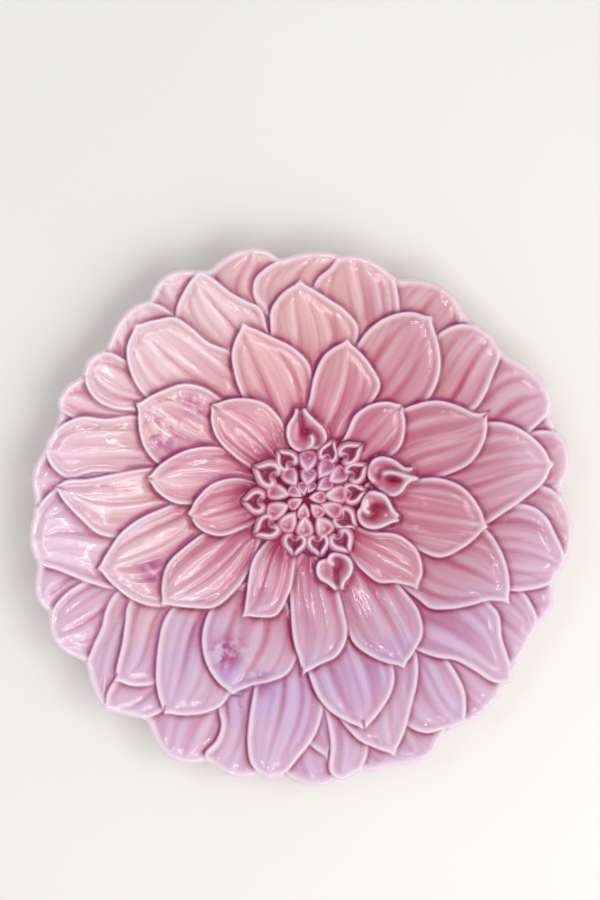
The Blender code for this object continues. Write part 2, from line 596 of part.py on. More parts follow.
def bowl_mesh(shapes):
    """Coordinates (millimetres) and triangles of the closed bowl."""
    rim = rim_loop(shapes, RIM_POINTS)
    border = inward(rim, LIP)
    points, links = face_layout(shapes, border)
    points = np.vstack([points, fill_points(points, border, FIELD_STEP, FIELD_CLEAR)])
    face_xy, face_corners, sources = triangulate(border, points, links)
    face_z = raise_face(face_xy, shapes)
    face_rim = rim_index(sources, RIM_POINTS)
    points, links = back_layout()
    back_xy, back_corners, sources = triangulate(border, points, links)
    back_z = back_section(np.hypot(*back_xy.T))
    back_rim = [i + len(face_xy) for i in rim_index(sources, RIM_POINTS)]
    coords = np.vstack([np.column_stack([face_xy, face_z]), np.column_stack([back_xy, back_z])])
    corners = list(face_corners)
    corners += [tuple(i + len(face_xy) for i in reversed(c)) for c in back_corners]
    top, bottom = coords[face_rim, 2], coords[back_rim, 2]
    upper = face_rim
    for step in range(1, LIP_RINGS + 1):
        angle = math.pi * step / (LIP_RINGS + 1)
        loop = inward(rim, LIP * (1 - math.sin(angle)))
        height = (top + bottom) / 2 + (top - bottom) / 2 * math.cos(angle)
        lower = list(range(len(coords), len(coords) + RIM_POINTS))
        coords = np.vstack([coords, np.column_stack([loop, height])])
        corners += band(upper, lower)
        upper = lower
    return coords, corners + band(upper, back_rim)


def band(upper, lower):
    """Triangles between two loops that run counter-clockwise seen from above."""
    faces = []
    for i in range(len(upper)):
        j = (i + 1) % len(upper)
        faces += [(upper[i], lower[i], lower[j]), (upper[i], lower[j], upper[j])]
    return faces


def glaze_material():
    """Clear-glazed rose earthenware."""
    material = bpy.data.materials.new("rose_glaze")
    material.use_nodes = True
    shader = material.node_tree.nodes["Principled BSDF"]
    shader.inputs["Base Color"].default_value = (0.73, 0.37, 0.43, 1.0)
    shader.inputs["Roughness"].default_value = 0.12
    shader.inputs["Coat Weight"].default_value = 0.6
    return material


def build():
    """Lay out the flower, mesh the bowl and put it in its own collection."""
    for leftover in list(bpy.data.objects):
        bpy.data.objects.remove(leftover, do_unlink=True)
    coords, corners = bowl_mesh(flower())
    low, high = coords.min(axis=0), coords.max(axis=0)
    coords -= ((low[0] + high[0]) / 2, (low[1] + high[1]) / 2, low[2])
    mesh = bpy.data.meshes.new(OBJECT_NAME)
    mesh.from_pydata([tuple(float(v) * METRES for v in p) for p in coords], [], corners)
    mesh.update()
    shell = bmesh.new()
    shell.from_mesh(mesh)
    bmesh.ops.recalc_face_normals(shell, faces=shell.faces)
    for face in shell.faces:
        face.smooth = True
    for edge in shell.edges:
        edge.smooth = edge.calc_face_angle() < CREASE
    shell.to_mesh(mesh)
    shell.free()
    mesh.materials.append(glaze_material())
    bowl = bpy.data.objects.new(OBJECT_NAME, mesh)
    collection = bpy.data.collections.new(OBJECT_NAME)
    bpy.context.scene.collection.children.link(collection)
    collection.objects.link(bowl)


build()
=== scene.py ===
import math

import bmesh
import bpy
import numpy as np
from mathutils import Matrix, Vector
from mathutils.geometry import delaunay_2d_cdt


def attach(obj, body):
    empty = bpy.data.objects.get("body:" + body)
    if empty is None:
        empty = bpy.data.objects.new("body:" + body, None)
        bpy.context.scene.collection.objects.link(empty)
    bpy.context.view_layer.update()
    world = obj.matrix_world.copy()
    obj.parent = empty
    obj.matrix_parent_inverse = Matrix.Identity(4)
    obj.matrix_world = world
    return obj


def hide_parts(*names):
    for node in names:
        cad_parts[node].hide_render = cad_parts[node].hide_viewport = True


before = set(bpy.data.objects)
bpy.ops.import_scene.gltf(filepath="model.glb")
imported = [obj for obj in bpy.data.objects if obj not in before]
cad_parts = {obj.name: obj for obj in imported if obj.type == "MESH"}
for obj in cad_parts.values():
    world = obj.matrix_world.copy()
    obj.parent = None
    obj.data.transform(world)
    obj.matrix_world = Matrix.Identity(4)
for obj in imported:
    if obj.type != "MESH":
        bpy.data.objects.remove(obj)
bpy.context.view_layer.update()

# The view from straight above. The dish lies level, below the middle of the
# frame, and fills nine tenths of its width.
VIEW_LENS, VIEW_SENSOR = 120.0, 36.0     # millimetres
VIEW_HEIGHT = 0.549                      # height of the strip seen at the rim, metres
VIEW_CENTRE = (-0.0008, 0.0411)
RIM_LEVEL = 0.038


def add(name, data):
    """A new object in the scene."""
    made = bpy.data.objects.new(name, data)
    bpy.context.collection.objects.link(made)
    return made


view_camera = bpy.data.cameras.new("view")
view_camera.lens = VIEW_LENS
view_camera.sensor_width = VIEW_SENSOR
view = add("view", view_camera)
view.location = (*VIEW_CENTRE, RIM_LEVEL + VIEW_HEIGHT * VIEW_LENS / VIEW_SENSOR)
bpy.context.scene.camera = view


# The table the bowl stands on. A pale matt top, a hair lower than the foot
# ring's own flat face, so that the two never share a plane.
TABLE_HALF = 3.0                         # metres
TABLE_Z = -0.0001


class Socket:
    """A shader value that can be used in plain arithmetic."""

    def __init__(self, tree, socket):
        self.tree, self.socket = tree, socket

    def maths(self, operation, first, second, clamp=False):
        settings = {"operation": operation, "use_clamp": clamp}
        return add_node(self.tree, "ShaderNodeMath", settings, {0: first, 1: second})

    def __add__(self, other):
        return self.maths("ADD", self, other)

    def __sub__(self, other):
        return self.maths("SUBTRACT", self, other)

    def __rsub__(self, other):
        return self.maths("SUBTRACT", other, self)

    def __mul__(self, other):
        return self.maths("MULTIPLY", self, other)

    def __truediv__(self, other):
        return self.maths("DIVIDE", self, other)

    def power(self, other):
        return self.maths("POWER", self, other)

    def clamped(self):
        return self.maths("ADD", self, 0.0, clamp=True)

    __radd__ = __add__
    __rmul__ = __mul__


def join(tree, slot, value):
    """Link a socket, or set a plain value."""
    if isinstance(value, Socket):
        tree.links.new(value.socket, slot)
    else:
        slot.default_value = value


def add_node(tree, kind, settings=None, values=None, output=0):
    """A new node, its settings first and then its sockets; gives back one output."""
    node = tree.nodes.new(kind)
    for name, value in (settings or {}).items():
        setattr(node, name, value)
    for slot, value in (values or {}).items():
        join(tree, node.inputs[slot], value)
    return Socket(tree, node.outputs[output])


class Finish:
    """A material and its shader, with one way to add any node."""

    def __init__(self, name, roughness, **plain):
        self.material = bpy.data.materials.new(name)
        self.material.use_nodes = True
        self.tree = self.material.node_tree
        self.shader = self.tree.nodes["Principled BSDF"]
        self.paint("Roughness", roughness)
        for socket, value in plain.items():
            self.paint(socket.replace("_", " "), value)

    def node(self, kind, settings=None, values=None, output=0):
        return add_node(self.tree, "ShaderNode" + kind, settings, values, output)

    def place(self):
        return self.node("TexCoord", output="Object")

    def noise(self, place, scale, detail):
        return self.node("TexNoise", values={"Vector": place, "Scale": scale, "Detail": detail})

    def mix(self, first, second, amount):
        """Colour between two colours."""
        return self.node("Mix", {"data_type": "RGBA"}, {0: amount, 6: first, 7: second}, 2)

    def paint(self, socket, value):
        join(self.tree, self.shader.inputs[socket], value)


def srgb(red, green, blue):
    """Linear colour from the usual 0 to 255 values."""
    parts = [v / 255.0 for v in (red, green, blue)]
    return (*[v / 12.92 if v <= 0.04045 else ((v + 0.055) / 1.055)**2.4 for v in parts], 1.0)


TABLE_TOP = Finish("pale_table", 0.75)
table_cloud = TABLE_TOP.noise(TABLE_TOP.place(), 3.0, 3.0)
TABLE_TOP.paint("Base Color", TABLE_TOP.mix(srgb(240, 237, 232), srgb(247, 245, 241), table_cloud))

corners = [(x * TABLE_HALF, y * TABLE_HALF, TABLE_Z) for x, y in ((-1, -1), (1, -1), (1, 1), (-1, 1))]
table_mesh = bpy.data.meshes.new("table_top")
table_mesh.from_pydata(corners, [], [(0, 1, 2, 3)])
table_mesh.materials.append(TABLE_TOP.material)
table_top = add("table_top", table_mesh)


# The light. A window stands to the right, and three frames of thin lit tubes hang
# overhead, which the wet glaze shows as fine bright lines. The room has pale walls
# all round and a dimmer ceiling.
WINDOW_PLACE = (0.55, -0.35, 1.15)
WINDOW_SIZE = 1.0
WINDOW_WATTS = 6.3
TUBE = 0.012                             # width of a tube, metres
TUBE_WATTS = 1.15                        # for each metre of it
LIT_FRAMES = (                           # place, half length, half height
    ((0.50, -0.12, 1.2), 0.24, 0.10),
    ((-0.36, 0.16, 1.3), 0.16, 0.06),
    ((0.10, -0.40, 1.3), 0.12, 0.06),
)
ROOM_WALLS, ROOM_CEILING = 0.71, 0.36    # strengths
CEILING_EDGE = (0.72, 0.97)              # where one turns to the other, 1 being overhead
ROOM_TINT = (0.96, 0.98, 1.0, 1.0)


def soft_light(name, place, length, width, watts, shift=(0, 0)):
    """A lamp that faces the bowl, moved in its own plane by the shift."""
    lamp = bpy.data.lights.new(name, "AREA")
    lamp.shape, lamp.size, lamp.size_y, lamp.energy = "RECTANGLE", length, width, watts
    turn = (-Vector(place)).to_track_quat("-Z", "Y")
    holder = add(name, lamp)
    holder.location = Vector(place) + turn @ Vector((*shift, 0))
    holder.rotation_euler = turn.to_euler()


soft_light("window", WINDOW_PLACE, WINDOW_SIZE, WINDOW_SIZE, WINDOW_WATTS)
for number, (place, half_x, half_y) in enumerate(LIT_FRAMES):
    for side in (-1, 1):
        soft_light(f"tube_{number}_x{side}", place, TUBE, 2 * half_y,
                   2 * half_y * TUBE_WATTS, (side * half_x, 0))
        soft_light(f"tube_{number}_y{side}", place, 2 * half_x, TUBE,
                   2 * half_x * TUBE_WATTS, (0, side * half_y))

room = bpy.data.worlds.new("room")
room.use_nodes = True
backdrop = room.node_tree.nodes["Background"]
sky = add_node(room.node_tree, "ShaderNodeTexCoord", output="Generated")
sky_height = add_node(room.node_tree, "ShaderNodeSeparateXYZ", values={0: sky}, output="Z")
dimming = add_node(room.node_tree, "ShaderNodeMapRange", values={
    "Value": sky_height, "From Min": CEILING_EDGE[0], "From Max": CEILING_EDGE[1],
    "To Min": ROOM_WALLS, "To Max": ROOM_CEILING})
join(room.node_tree, backdrop.inputs["Strength"], dimming)
backdrop.inputs["Color"].default_value = ROOM_TINT
bpy.context.scene.world = room
bpy.context.scene.view_settings.view_transform = "Standard"


# The bowl: one casting in pale earthenware. Its face is pressed with the petals,
# laid over each other from the rim inwards, each with a rounded bead along its
# edge and a groove round it where the coloured glaze runs thick.

# Lengths are millimetres, and angles degrees, until the mesh is made.
HEART = np.array((1.9, 11.5))            # the flower's heart on the dish
BOWL_RADIUS = 165.0
WELL_RADIUS, WELL_Z = 34.0, 11.0         # flat middle of the face, and its height
RIM_RISE = 28.0
WALL, RIM_WALL = 6.0, 4.4
LIP = 2.4                                # half-round edge
FOOT_RADIUS, FOOT_HALF = 70.0, 3.4       # middle and half width of the foot's flat face
FOOT_DRAFT = 2.4                         # its sides lean out this far on their way up

LIFT_ROOT, LIFT_TIP = 0.3, 2.6           # a petal's height over the bowl
EDGE_WALL = 1.1                          # width of the step at its edge
ROOT_REACH = 0.78                        # a hidden root's radius, as a part of what it was
ROOT_GATHER = 0.4                        # and how far its sides draw together
BEAD, BEAD_IN, BEAD_HALF = 1.05, 1.4, 1.52          # height, way in from the edge, half width
GUTTER, GUTTER_IN, GUTTER_HALF = 0.35, 4.2, 2.0     # shallow channel inside the bead
GROOVE, GROOVE_WIDTH = 0.9, 1.7          # sharp line outside the edge
UNDERCUT, UNDERCUT_WIDTH = 1.15, 6.5     # and the wider dip it lies in
CROWN = 0.7                              # swelling along a petal's middle
RIB, RIB_GAP = 0.42, 9.5
NARROWEST = 2.5                          # least half width that they are spread over
RIB_IN, RIB_EASE = 2.4, 4.0              # the ribs start this far inside the edge
RIB_WAVES = ((1.0, 0.46, 0.0), (1.63, 0.3, 0.8), (0.57, 0.34, 0.0))     # rate, height, drift
KEEL, KEEL_HALF = 0.55, 1.9              # ridge that runs out to the tip
TIP_PINCH = 0.24                         # how much narrower a petal is just before its tip
PINCH_AWAY, PINCH_HALF = 4.2, 2.6
BLUNT_COSINE = -0.62                     # sides that meet wider than this make a rounded tip
CURVE_STEPS = 8                          # between two given points of an outline
RIM_RAYS = 2880                          # directions in which the rim is looked for

# The stain outside a petal's edge: strength and reach of each coat.
MARGIN = 16.0                            # a petal leaves no mark beyond this
POOL_LINE, POOL_HAZE = (0.84, 1.5), (0.3, 3.2)
ROSE_LINE, ROSE_HAZE = (0.6, 3.4), (0.7, 7.0)
VIOLET_REACH = 2.4
TIP_FADE, TIP_REACH = 0.6, 5.0           # a groove fades where a tip runs out
FAR_FROM, FAR_OVER = 70, 60              # it thins from this radius outwards
THIN_OUTWARDS = 0.38
AWAY_FROM_LIGHT = np.array((-0.92, 0.38))            # painted shade: thickest on this side of each petal, which faces away from the light
SKYWARD = np.array((-0.38, 0.92))        # and a painted reflection of the sky lays violet on this one
STROKES_APART = 13.0                     # so that no two petals share brush strokes

# The same outside a floret; and round the heart the strength, the radius inside
# which the stain lies, and the width over which it sets in.
FLORET_POOL, FLORET_HAZE, FLORET_GROOVE = (0.8, 2.2), (0.4, 6.0), (0.3, 1.8)
FLORET_ROSE_REACH, FLORET_MARGIN = 3.5, 8.0
HEART_ROSE, HEART_POOLS = (0.95, 58, 22), ((0.55, 46, 12), (0.3, 37, 8))

# Tips that are split: (azimuth, radius) of the tip, then the way the split runs
# and its length. Violet blots: (azimuth, radius, half width).
SPLITS = (
    (25.4, 124.6, 230, 4.6), (43.6, 83, 239, 3.8), (135, 81.6, 320, 4.4), (187.8, 73, 325, 4.0),
    (269, 109.4, 85, 5.2), (150.8, 118.6, 285, 6), (249.8, 128.4, 355, 5), (198.6, 134, 60, 4),
    (284.4, 144, 100, 6), (237.2, 156, 75, 5), (223.5, 161.5, 60, 5), (178.3, 152.5, 350, 6),
    (172.3, 98.9, 350, 4),
)
SPLIT_DEPTH, SPLIT_HALF = 0.8, 0.7
SPLIT_ROSE, SPLIT_POOL = (0.8, 1.6), 0.35
BLOTS = ((156, 95, 13), (140, 88, 8), (243, 106, 10), (206, 104, 8), (256, 118, 7))
BLOT_STRENGTH = 1.4

# Plain rim beneath the petals: (azimuth, radius) from the heart.
UNDER_RIM = (
    (15.7, 159.8), (37.5, 150.4), (52, 149), (67.3, 146.2), (81, 146), (94.7, 146.6), (112.2, 151.6),
    (127.9, 154), (143, 152.8), (151, 156), (165, 159.2), (182.5, 165.4), (193, 167.8), (216.3, 167.8),
    (234, 167), (248.4, 171.6), (266, 170.8), (281.4, 170.4), (300.6, 167.6), (317, 167), (326, 161.8),
    (341.8, 161), (359.2, 157.2),
)

# Petals, lowest first: (left side, tip, right side), each point as
# (azimuth, radius) from the heart, the sides read from root to tip.
RIM_PETALS = (
    (((343, 140), (342.3, 158)), (336.8, 166.4), ((329, 140), (331, 161))),
    (((16.5, 140), (16, 152), (14, 161.5)), (9, 163.9), ((1, 135), (1.5, 150), (3.6, 158.4))),
    (((3.6, 135), (3, 147), (0.2, 157.2)), (352, 165.8), ((342, 140), (343.5, 161))),
    (((36, 130), (36.6, 148), (33.6, 154), (30.5, 158.3)), (24.6, 163),
     ((14, 128), (16.3, 143), (18, 152), (19.8, 160))),
    (((69, 125), (68, 141)), (57.5, 154.4), ((46, 120), (47.4, 143), (50.4, 150.3))),
    (((50, 112), (50.8, 131), (48.6, 142)), (42.4, 151.4),
     ((27.7, 119), (30.2, 129), (33.2, 138), (36.4, 148.6))),
    (((116, 135), (114, 148.5), (109.6, 154)), (103, 156.8), ((97, 125), (95.4, 142), (97.4, 151))),
    (((101, 112), (104.2, 129), (103, 137), (99.5, 143), (95, 147.2)), (88, 150.8),
     ((80, 120), (80, 140), (82.2, 149.8))),
    (((88, 116), (87.7, 129), (86.6, 135), (84, 141)), (81.8, 149),
     ((60, 115), (62.9, 128), (65.3, 137), (67.8, 145), (72.5, 150.4), (76.8, 152.2))),
    (((129, 130), (128.9, 150), (125.6, 158.4)), (121, 160.6), ((112, 130), (112.6, 148), (115.6, 154.6))),
    (((144, 130), (142.6, 151), (138, 156)), (133.8, 157.6),
     ((124.3, 130), (125.5, 139.4), (126.6, 147), (129, 155))),
    (((161, 130), (161, 150), (159.3, 161.7)), (156.2, 161.6), ((150, 130), (151, 152), (153.6, 159.4))),
    (((152.5, 115), (155, 130), (154.8, 141), (152.9, 149.6)), (148.4, 158),
     ((141, 120), (142.2, 139), (142.9, 148), (145.2, 155.8))),
    (((184, 135), (182, 160)), (176.8, 166.8), ((168, 135), (169, 160))),
    (((206, 140), (206.5, 165)), (200.6, 174.4), ((192, 140), (192.6, 163), (196.4, 171.4))),
    (((218, 130), (219, 155), (215, 170)), (209.4, 176),
     ((200, 125), (200.5, 142), (201.6, 157), (203.2, 166), (205.6, 173))),
    (((204, 110), (205, 131), (202.8, 137.8), (200, 145.7), (196.5, 156), (193.4, 167.6)), (188.5, 169.8),
     ((176, 120), (177, 150), (179.4, 157.5), (183, 165))),
    (((222, 130), (227, 150), (229, 165)), (226, 178.6),
     ((206.4, 118), (206.8, 131), (209, 139), (212.3, 147), (214.5, 156), (217.3, 167), (220.8, 172.6))),
    (((252, 140), (251, 160), (248.6, 173)), (242.6, 178.4), ((232, 140), (233.3, 160), (236.8, 171))),
    (((238, 130), (237, 152), (233.8, 166.4), (230.4, 171.6)), (226.4, 178),
     ((221, 130), (223.4, 158), (224.4, 168))),
    (((262, 140), (262, 160), (259.4, 172.6)), (254.5, 174.9),
     ((246, 125), (247.9, 140), (249.8, 148), (249.9, 157), (248.6, 167))),
    (((277, 145), (278, 165), (275.6, 174.4)), (272.2, 176), ((264, 140), (264.5, 160), (267.4, 172))),
    (((276, 135), (276.5, 150)), (275.2, 160), ((268, 135), (269.5, 146), (272, 152.6))),
    (((303, 140), (302.6, 161), (299.2, 169.4), (296.4, 174.6)), (292.8, 175.2),
     ((279, 140), (280.4, 160), (283, 171.2), (287.6, 172))),
    (((286, 130), (285, 150), (283.4, 163), (281, 170.4)), (277.6, 174.8),
     ((275, 120), (275.7, 134), (276.1, 150), (275.5, 169))),
    (((318, 130), (318.4, 154), (316, 167.6)), (311, 170.2), ((302, 130), (303, 156), (306, 169.6))),
    (((338, 128), (336.4, 148), (334.8, 154), (332, 161.6)), (327.4, 162.8),
     ((318, 128), (319.5, 154), (322.4, 163.6))),
)

OUTER_PETALS = (
    (((357, 116), (358.6, 134), (357.8, 141), (355.6, 148.4), (352.1, 154.6)), (347, 162.6),
     ((334, 116), (334.6, 130), (335.7, 138), (337.7, 148), (341, 159))),
    (((228, 108), (231.6, 134), (231, 146), (228.2, 154)), (223.6, 161.6),
     ((209, 108), (210.8, 126), (215.2, 135), (218.3, 142.4), (221.4, 152.7))),
    (((248, 108), (249.2, 129), (248.4, 136), (245.2, 144.9), (241.5, 151)), (236.7, 157.5),
     ((219, 98), (221.3, 116), (224.5, 125.7), (227.9, 135.7), (231.4, 145.6))),
    (((274, 108), (275, 129.8), (273.5, 140.7), (271.4, 149.6), (268.8, 158), (266, 167.8)), (262.4, 173.6),
     ((254.5, 108), (255.2, 123.4), (255.9, 140.4), (256.9, 154.3), (258.5, 165))),
    (((312, 112), (311.8, 127), (311, 142), (309.6, 154), (307.4, 162.4)), (305.3, 169.8),
     ((296, 112), (294, 140), (294.6, 153.6), (297.2, 161), (301.6, 165))),
    (((308, 103), (305.6, 119), (301.8, 131.6), (297.6, 142.1), (294.3, 152)), (289.3, 166.4),
     ((276, 112), (278, 132), (280.2, 142), (282.8, 152), (285.7, 158.3))),
    (((172, 100), (173, 130), (175, 147), (173, 155)), (168.6, 161.6),
     ((152, 98), (154, 116), (158, 131), (159.9, 145.8), (161.7, 151.6), (164.4, 157.6))),
)

UPPER_PETALS = (
    (((333, 108), (331, 126), (329.4, 138), (324.9, 147.6), (321.9, 158.5)), (318.9, 171.2),
     ((302, 103), (306.4, 116.3), (309.9, 127.7), (312.8, 135.2), (314.6, 148), (315.8, 161))),
    (((352, 98), (350.1, 114.2), (346.1, 123.1), (342.1, 130), (337.5, 136)), (332.8, 141),
     ((317.5, 80), (318.2, 93), (318.7, 103), (322.2, 111.6), (327.1, 121.4), (331, 129.6))),
    (((297, 93), (298.2, 111), (296.8, 123), (293.5, 131.8), (289.8, 138)), (284.6, 146.8),
     ((269, 88), (271.5, 110), (273.6, 121.6), (277.2, 132.6), (281.4, 140.4))),
    (((268, 83), (267, 100), (264.6, 108.5), (259.4, 115), (254.2, 120)), (249.8, 128.8),
     ((229, 78), (231.3, 99), (234.3, 108.5), (238.9, 117.7), (244, 124.2))),
    (((192, 88), (192.2, 117), (189.8, 128.6), (185.4, 137.6), (181, 146.6)), (177.2, 153.8),
     ((166.5, 73), (169.2, 98.8), (172.6, 118), (174.8, 134), (175.7, 147))),
    (((219, 83), (219.6, 103), (215.6, 114.6), (210.4, 123), (204.8, 128.6)), (198.6, 134.4),
     ((180, 68), (184, 88), (187.6, 105), (191, 116), (194.6, 124))),
    (((122, 83), (126, 118), (126.6, 132), (123.6, 141), (119.6, 147.4)), (114.6, 154.6),
     ((100, 78), (102.2, 108), (103, 120), (106.2, 126), (109.6, 134), (112.2, 144.5))),
    (((148, 83), (148, 111), (146.6, 122), (143.4, 134), (140.4, 141.4)), (134.2, 148.4),
     ((112, 72), (116.9, 101.4), (121.6, 113), (123.6, 126.6), (125.6, 136.6), (129.6, 142))),
    (((104, 78), (101.6, 105), (100, 118), (97, 125)), (91.2, 133.6),
     ((73, 78), (71.3, 100), (72.6, 110.4), (77.4, 117.8), (84, 124.2))),
    (((74, 78), (71.4, 98), (69, 112), (65, 123.6), (61, 130.6)), (55, 135.8),
     ((37, 78), (39.8, 104), (43.6, 115.4), (48.6, 124.6), (52.6, 130.8))),
    (((24, 83), (24, 113), (20.6, 131.6), (16.4, 142), (12.4, 148.6)), (7.8, 153.4),
     ((351, 83), (351.9, 112.9), (355.7, 122.6), (0.2, 135.6), (3.6, 146))),
    (((170, 73), (167.6, 91), (162.6, 103.4), (157.7, 110), (153.8, 114.2)), (150.8, 119),
     ((128, 62), (129.8, 79), (132.2, 92.4), (136.4, 102.4), (143, 110))),
)

MIDDLE_PETALS = (
    (((125, 42), (121.8, 73), (119.6, 88), (116.5, 100.4), (112.4, 108.6)), (109.4, 114.4),
     ((84, 48), (85.6, 72), (88.4, 83.8), (94.2, 93), (102, 102.2))),
    (((93, 38), (87.2, 62), (85.4, 77), (82.6, 88)), (75, 101.6),
     ((52, 43), (54.4, 70), (56, 83.8), (63.5, 91.6))),
    (((44, 68), (41, 87), (36.4, 101.6), (31, 110.6), (26.6, 117.4)), (25.4, 125),
     ((8, 68), (9.3, 90), (12, 104.6), (17.4, 115.6))),
    (((16, 43), (10, 66), (8.8, 83), (4.2, 97.4), (357.4, 107.4)), (351, 114.2),
     ((333, 48), (335.2, 72), (336.6, 92.4), (342.2, 101.8))),
    (((318, 53), (317.4, 82), (315.2, 100), (311.2, 110.6), (305.6, 116)), (300.4, 121),
     ((291, 43), (288.6, 72), (289, 96), (293.4, 107.2))),
    (((289, 48), (289.4, 72), (286.6, 91), (281.6, 99.6), (275, 103.4)), (269, 109.8),
     ((260, 43), (262.9, 70), (265.8, 90), (268.2, 101))),
    (((231, 48), (233.6, 70), (230.4, 88), (223.9, 97.7)), (216.8, 109.8),
     ((198, 48), (201.6, 78), (206.4, 95.6), (212, 104))),
    (((188, 43), (183.9, 66), (182, 81.4), (178, 90.4)), (172.7, 98.4),
     ((144, 38), (151.4, 67), (158.2, 79.4), (166.2, 90.6))),
)

INNER_PETALS = (
    (((56, 26), (57.2, 47), (58.8, 60), (53.8, 72.6), (48.4, 79.6)), (43.6, 83.6),
     ((26, 33), (24.4, 52), (28.2, 67.6), (36.4, 77.4))),
    (((151, 26), (149.8, 50), (144.8, 68), (140, 75.6)), (135, 82),
     ((106, 28), (106.2, 49), (112.4, 63.3), (123.6, 74.2))),
    (((207, 23), (207, 43), (204.2, 58), (196.6, 67.8)), (187.8, 73.4),
     ((160, 23), (164.2, 46), (171.6, 58.4), (180, 66.6))),
    (((262, 33), (261, 60), (256, 75.4), (248, 79.6)), (242.2, 83),
     ((227, 26), (230.8, 52), (235.6, 62), (239.6, 71.6))),
    (((330, 26), (334, 47), (338.8, 62), (334.6, 78), (327.6, 86.4)), (321, 89.6),
     ((311, 28), (308.2, 56), (311.6, 70.4), (317, 77))),
)


def toward(azimuth):
    """One unit along an azimuth."""
    return np.array((math.cos(math.radians(azimuth)), math.sin(math.radians(azimuth))))


def polar(azimuth, radius):
    """The point at an azimuth and radius from the heart."""
    return HEART + radius * toward(azimuth)


def shut(loop):
    """The loop with its first point again at its end."""
    return np.vstack([loop, loop[:1]])


def unit(vectors):
    """The same directions, one unit long."""
    return vectors / np.linalg.norm(vectors, axis=-1, keepdims=True)


def smooth_line(points, steps=CURVE_STEPS):
    """Open curve through the points, its ends free."""
    points = np.array(points, dtype=float)
    gaps = np.linalg.norm(np.diff(points, axis=0), axis=1)
    slopes = np.diff(points, axis=0) / gaps[:, None]
    tangents = np.empty_like(points)
    tangents[0], tangents[-1] = slopes[0], slopes[-1]
    weights = (gaps[1:] / (gaps[1:] + gaps[:-1]))[:, None]
    tangents[1:-1] = slopes[:-1] * weights + slopes[1:] * (1 - weights)
    t = (np.arange(steps) / steps)[:, None]
    spans = []
    for a, b, ta, tb, gap in zip(points[:-1], points[1:], tangents[:-1], tangents[1:], gaps):
        spans.append((2 * t**3 - 3 * t**2 + 1) * a + (t**3 - 2 * t**2 + t) * gap * ta
                     + (3 * t**2 - 2 * t**3) * b + (t**3 - t**2) * gap * tb)
    return np.vstack(spans + [points[-1:]])


def drawn_in(side, tip, across):
    """A side that narrows a little before the tip, so that the tip stands out."""
    away = np.linalg.norm(side - tip, axis=1)
    narrower = TIP_PINCH * hump((away - PINCH_AWAY) / PINCH_HALF)
    return side - np.outer(narrower * ((side - tip) @ across), across)


def two_sides(left, tip, right):
    """Both sides from root to tip; they run smoothly through a blunt one."""
    to_left, to_right = unit(left[-1] - tip), unit(right[-1] - tip)
    if to_left @ to_right > BLUNT_COSINE:
        across = unit(to_left - to_right)
        return [drawn_in(smooth_line([*side, tip]), tip, across) for side in (left, right)]
    whole = smooth_line([*left, tip, *right[::-1]])
    turn = len(left) * CURVE_STEPS
    return whole[:turn + 1], whole[:turn - 1:-1]


def length_along(line):
    """How far each point of a line lies from its start."""
    return np.concatenate([[0.0], np.cumsum(np.linalg.norm(np.diff(line, axis=0), axis=1))])


def even_points(line, count):
    """Points at even steps along a line, both ends among them."""
    run = length_along(line)
    marks = np.linspace(0.0, run[-1], count)
    return np.column_stack([np.interp(marks, run, line[:, axis]) for axis in (0, 1)])


def distance_to_line(xy, line):
    """How far each point lies from a line."""
    best = np.full(len(xy), 1e9)
    for a, b in zip(line[:-1], line[1:]):
        run = b - a
        along = np.clip((xy - a) @ run / (run @ run + 1e-9), 0.0, 1.0)
        away = xy - a - along[:, None] * run
        best = np.minimum(best, away[:, 0]**2 + away[:, 1]**2)
    return np.sqrt(best)


def inside(xy, loop):
    """Which of the points lie within a loop."""
    within = np.zeros(len(xy), dtype=bool)
    x, y = xy.T
    for (ax, ay), (bx, by) in zip(loop, np.roll(loop, -1, axis=0)):
        rise = by - ay if by != ay else 1e-9
        within ^= ((ay > y) != (by > y)) & (x < (bx - ax) * (y - ay) / rise + ax)
    return within


def smoothstep(value):
    """From 0 to 1, flat at both ends."""
    value = np.clip(value, 0.0, 1.0)
    return value * value * (3 - 2 * value)


def hump(value):
    """1 at 0, and falling away on both sides."""
    return np.exp(-value * value)


GLAZE = ("bare", "rose", "pooled", "violet", "tone")     # stored on the mesh


class Pressed:
    """A shape pressed into the face: the outline it covers, and the glaze on it."""

    def __init__(self, loop, size, seed):
        self.loop, self.size, self.seed = loop, size, seed
        self.low, self.high = loop.min(axis=0), loop.max(axis=0)
        self.middle = loop.mean(axis=0)

    def near(self, xy, margin):
        """Which of the points may lie within a margin of it."""
        return np.all((xy > self.low - margin) & (xy < self.high + margin), axis=1)

    def glazed(self, bare, rose, pooled=0.0):
        """How much there is of each glaze, and the shape's own tint."""
        none = np.zeros(len(bare))
        amounts = (np.clip(bare, 0, 1), np.clip(rose, 0, 1), none + pooled, none, none + self.tone)
        return dict(zip(GLAZE, amounts))


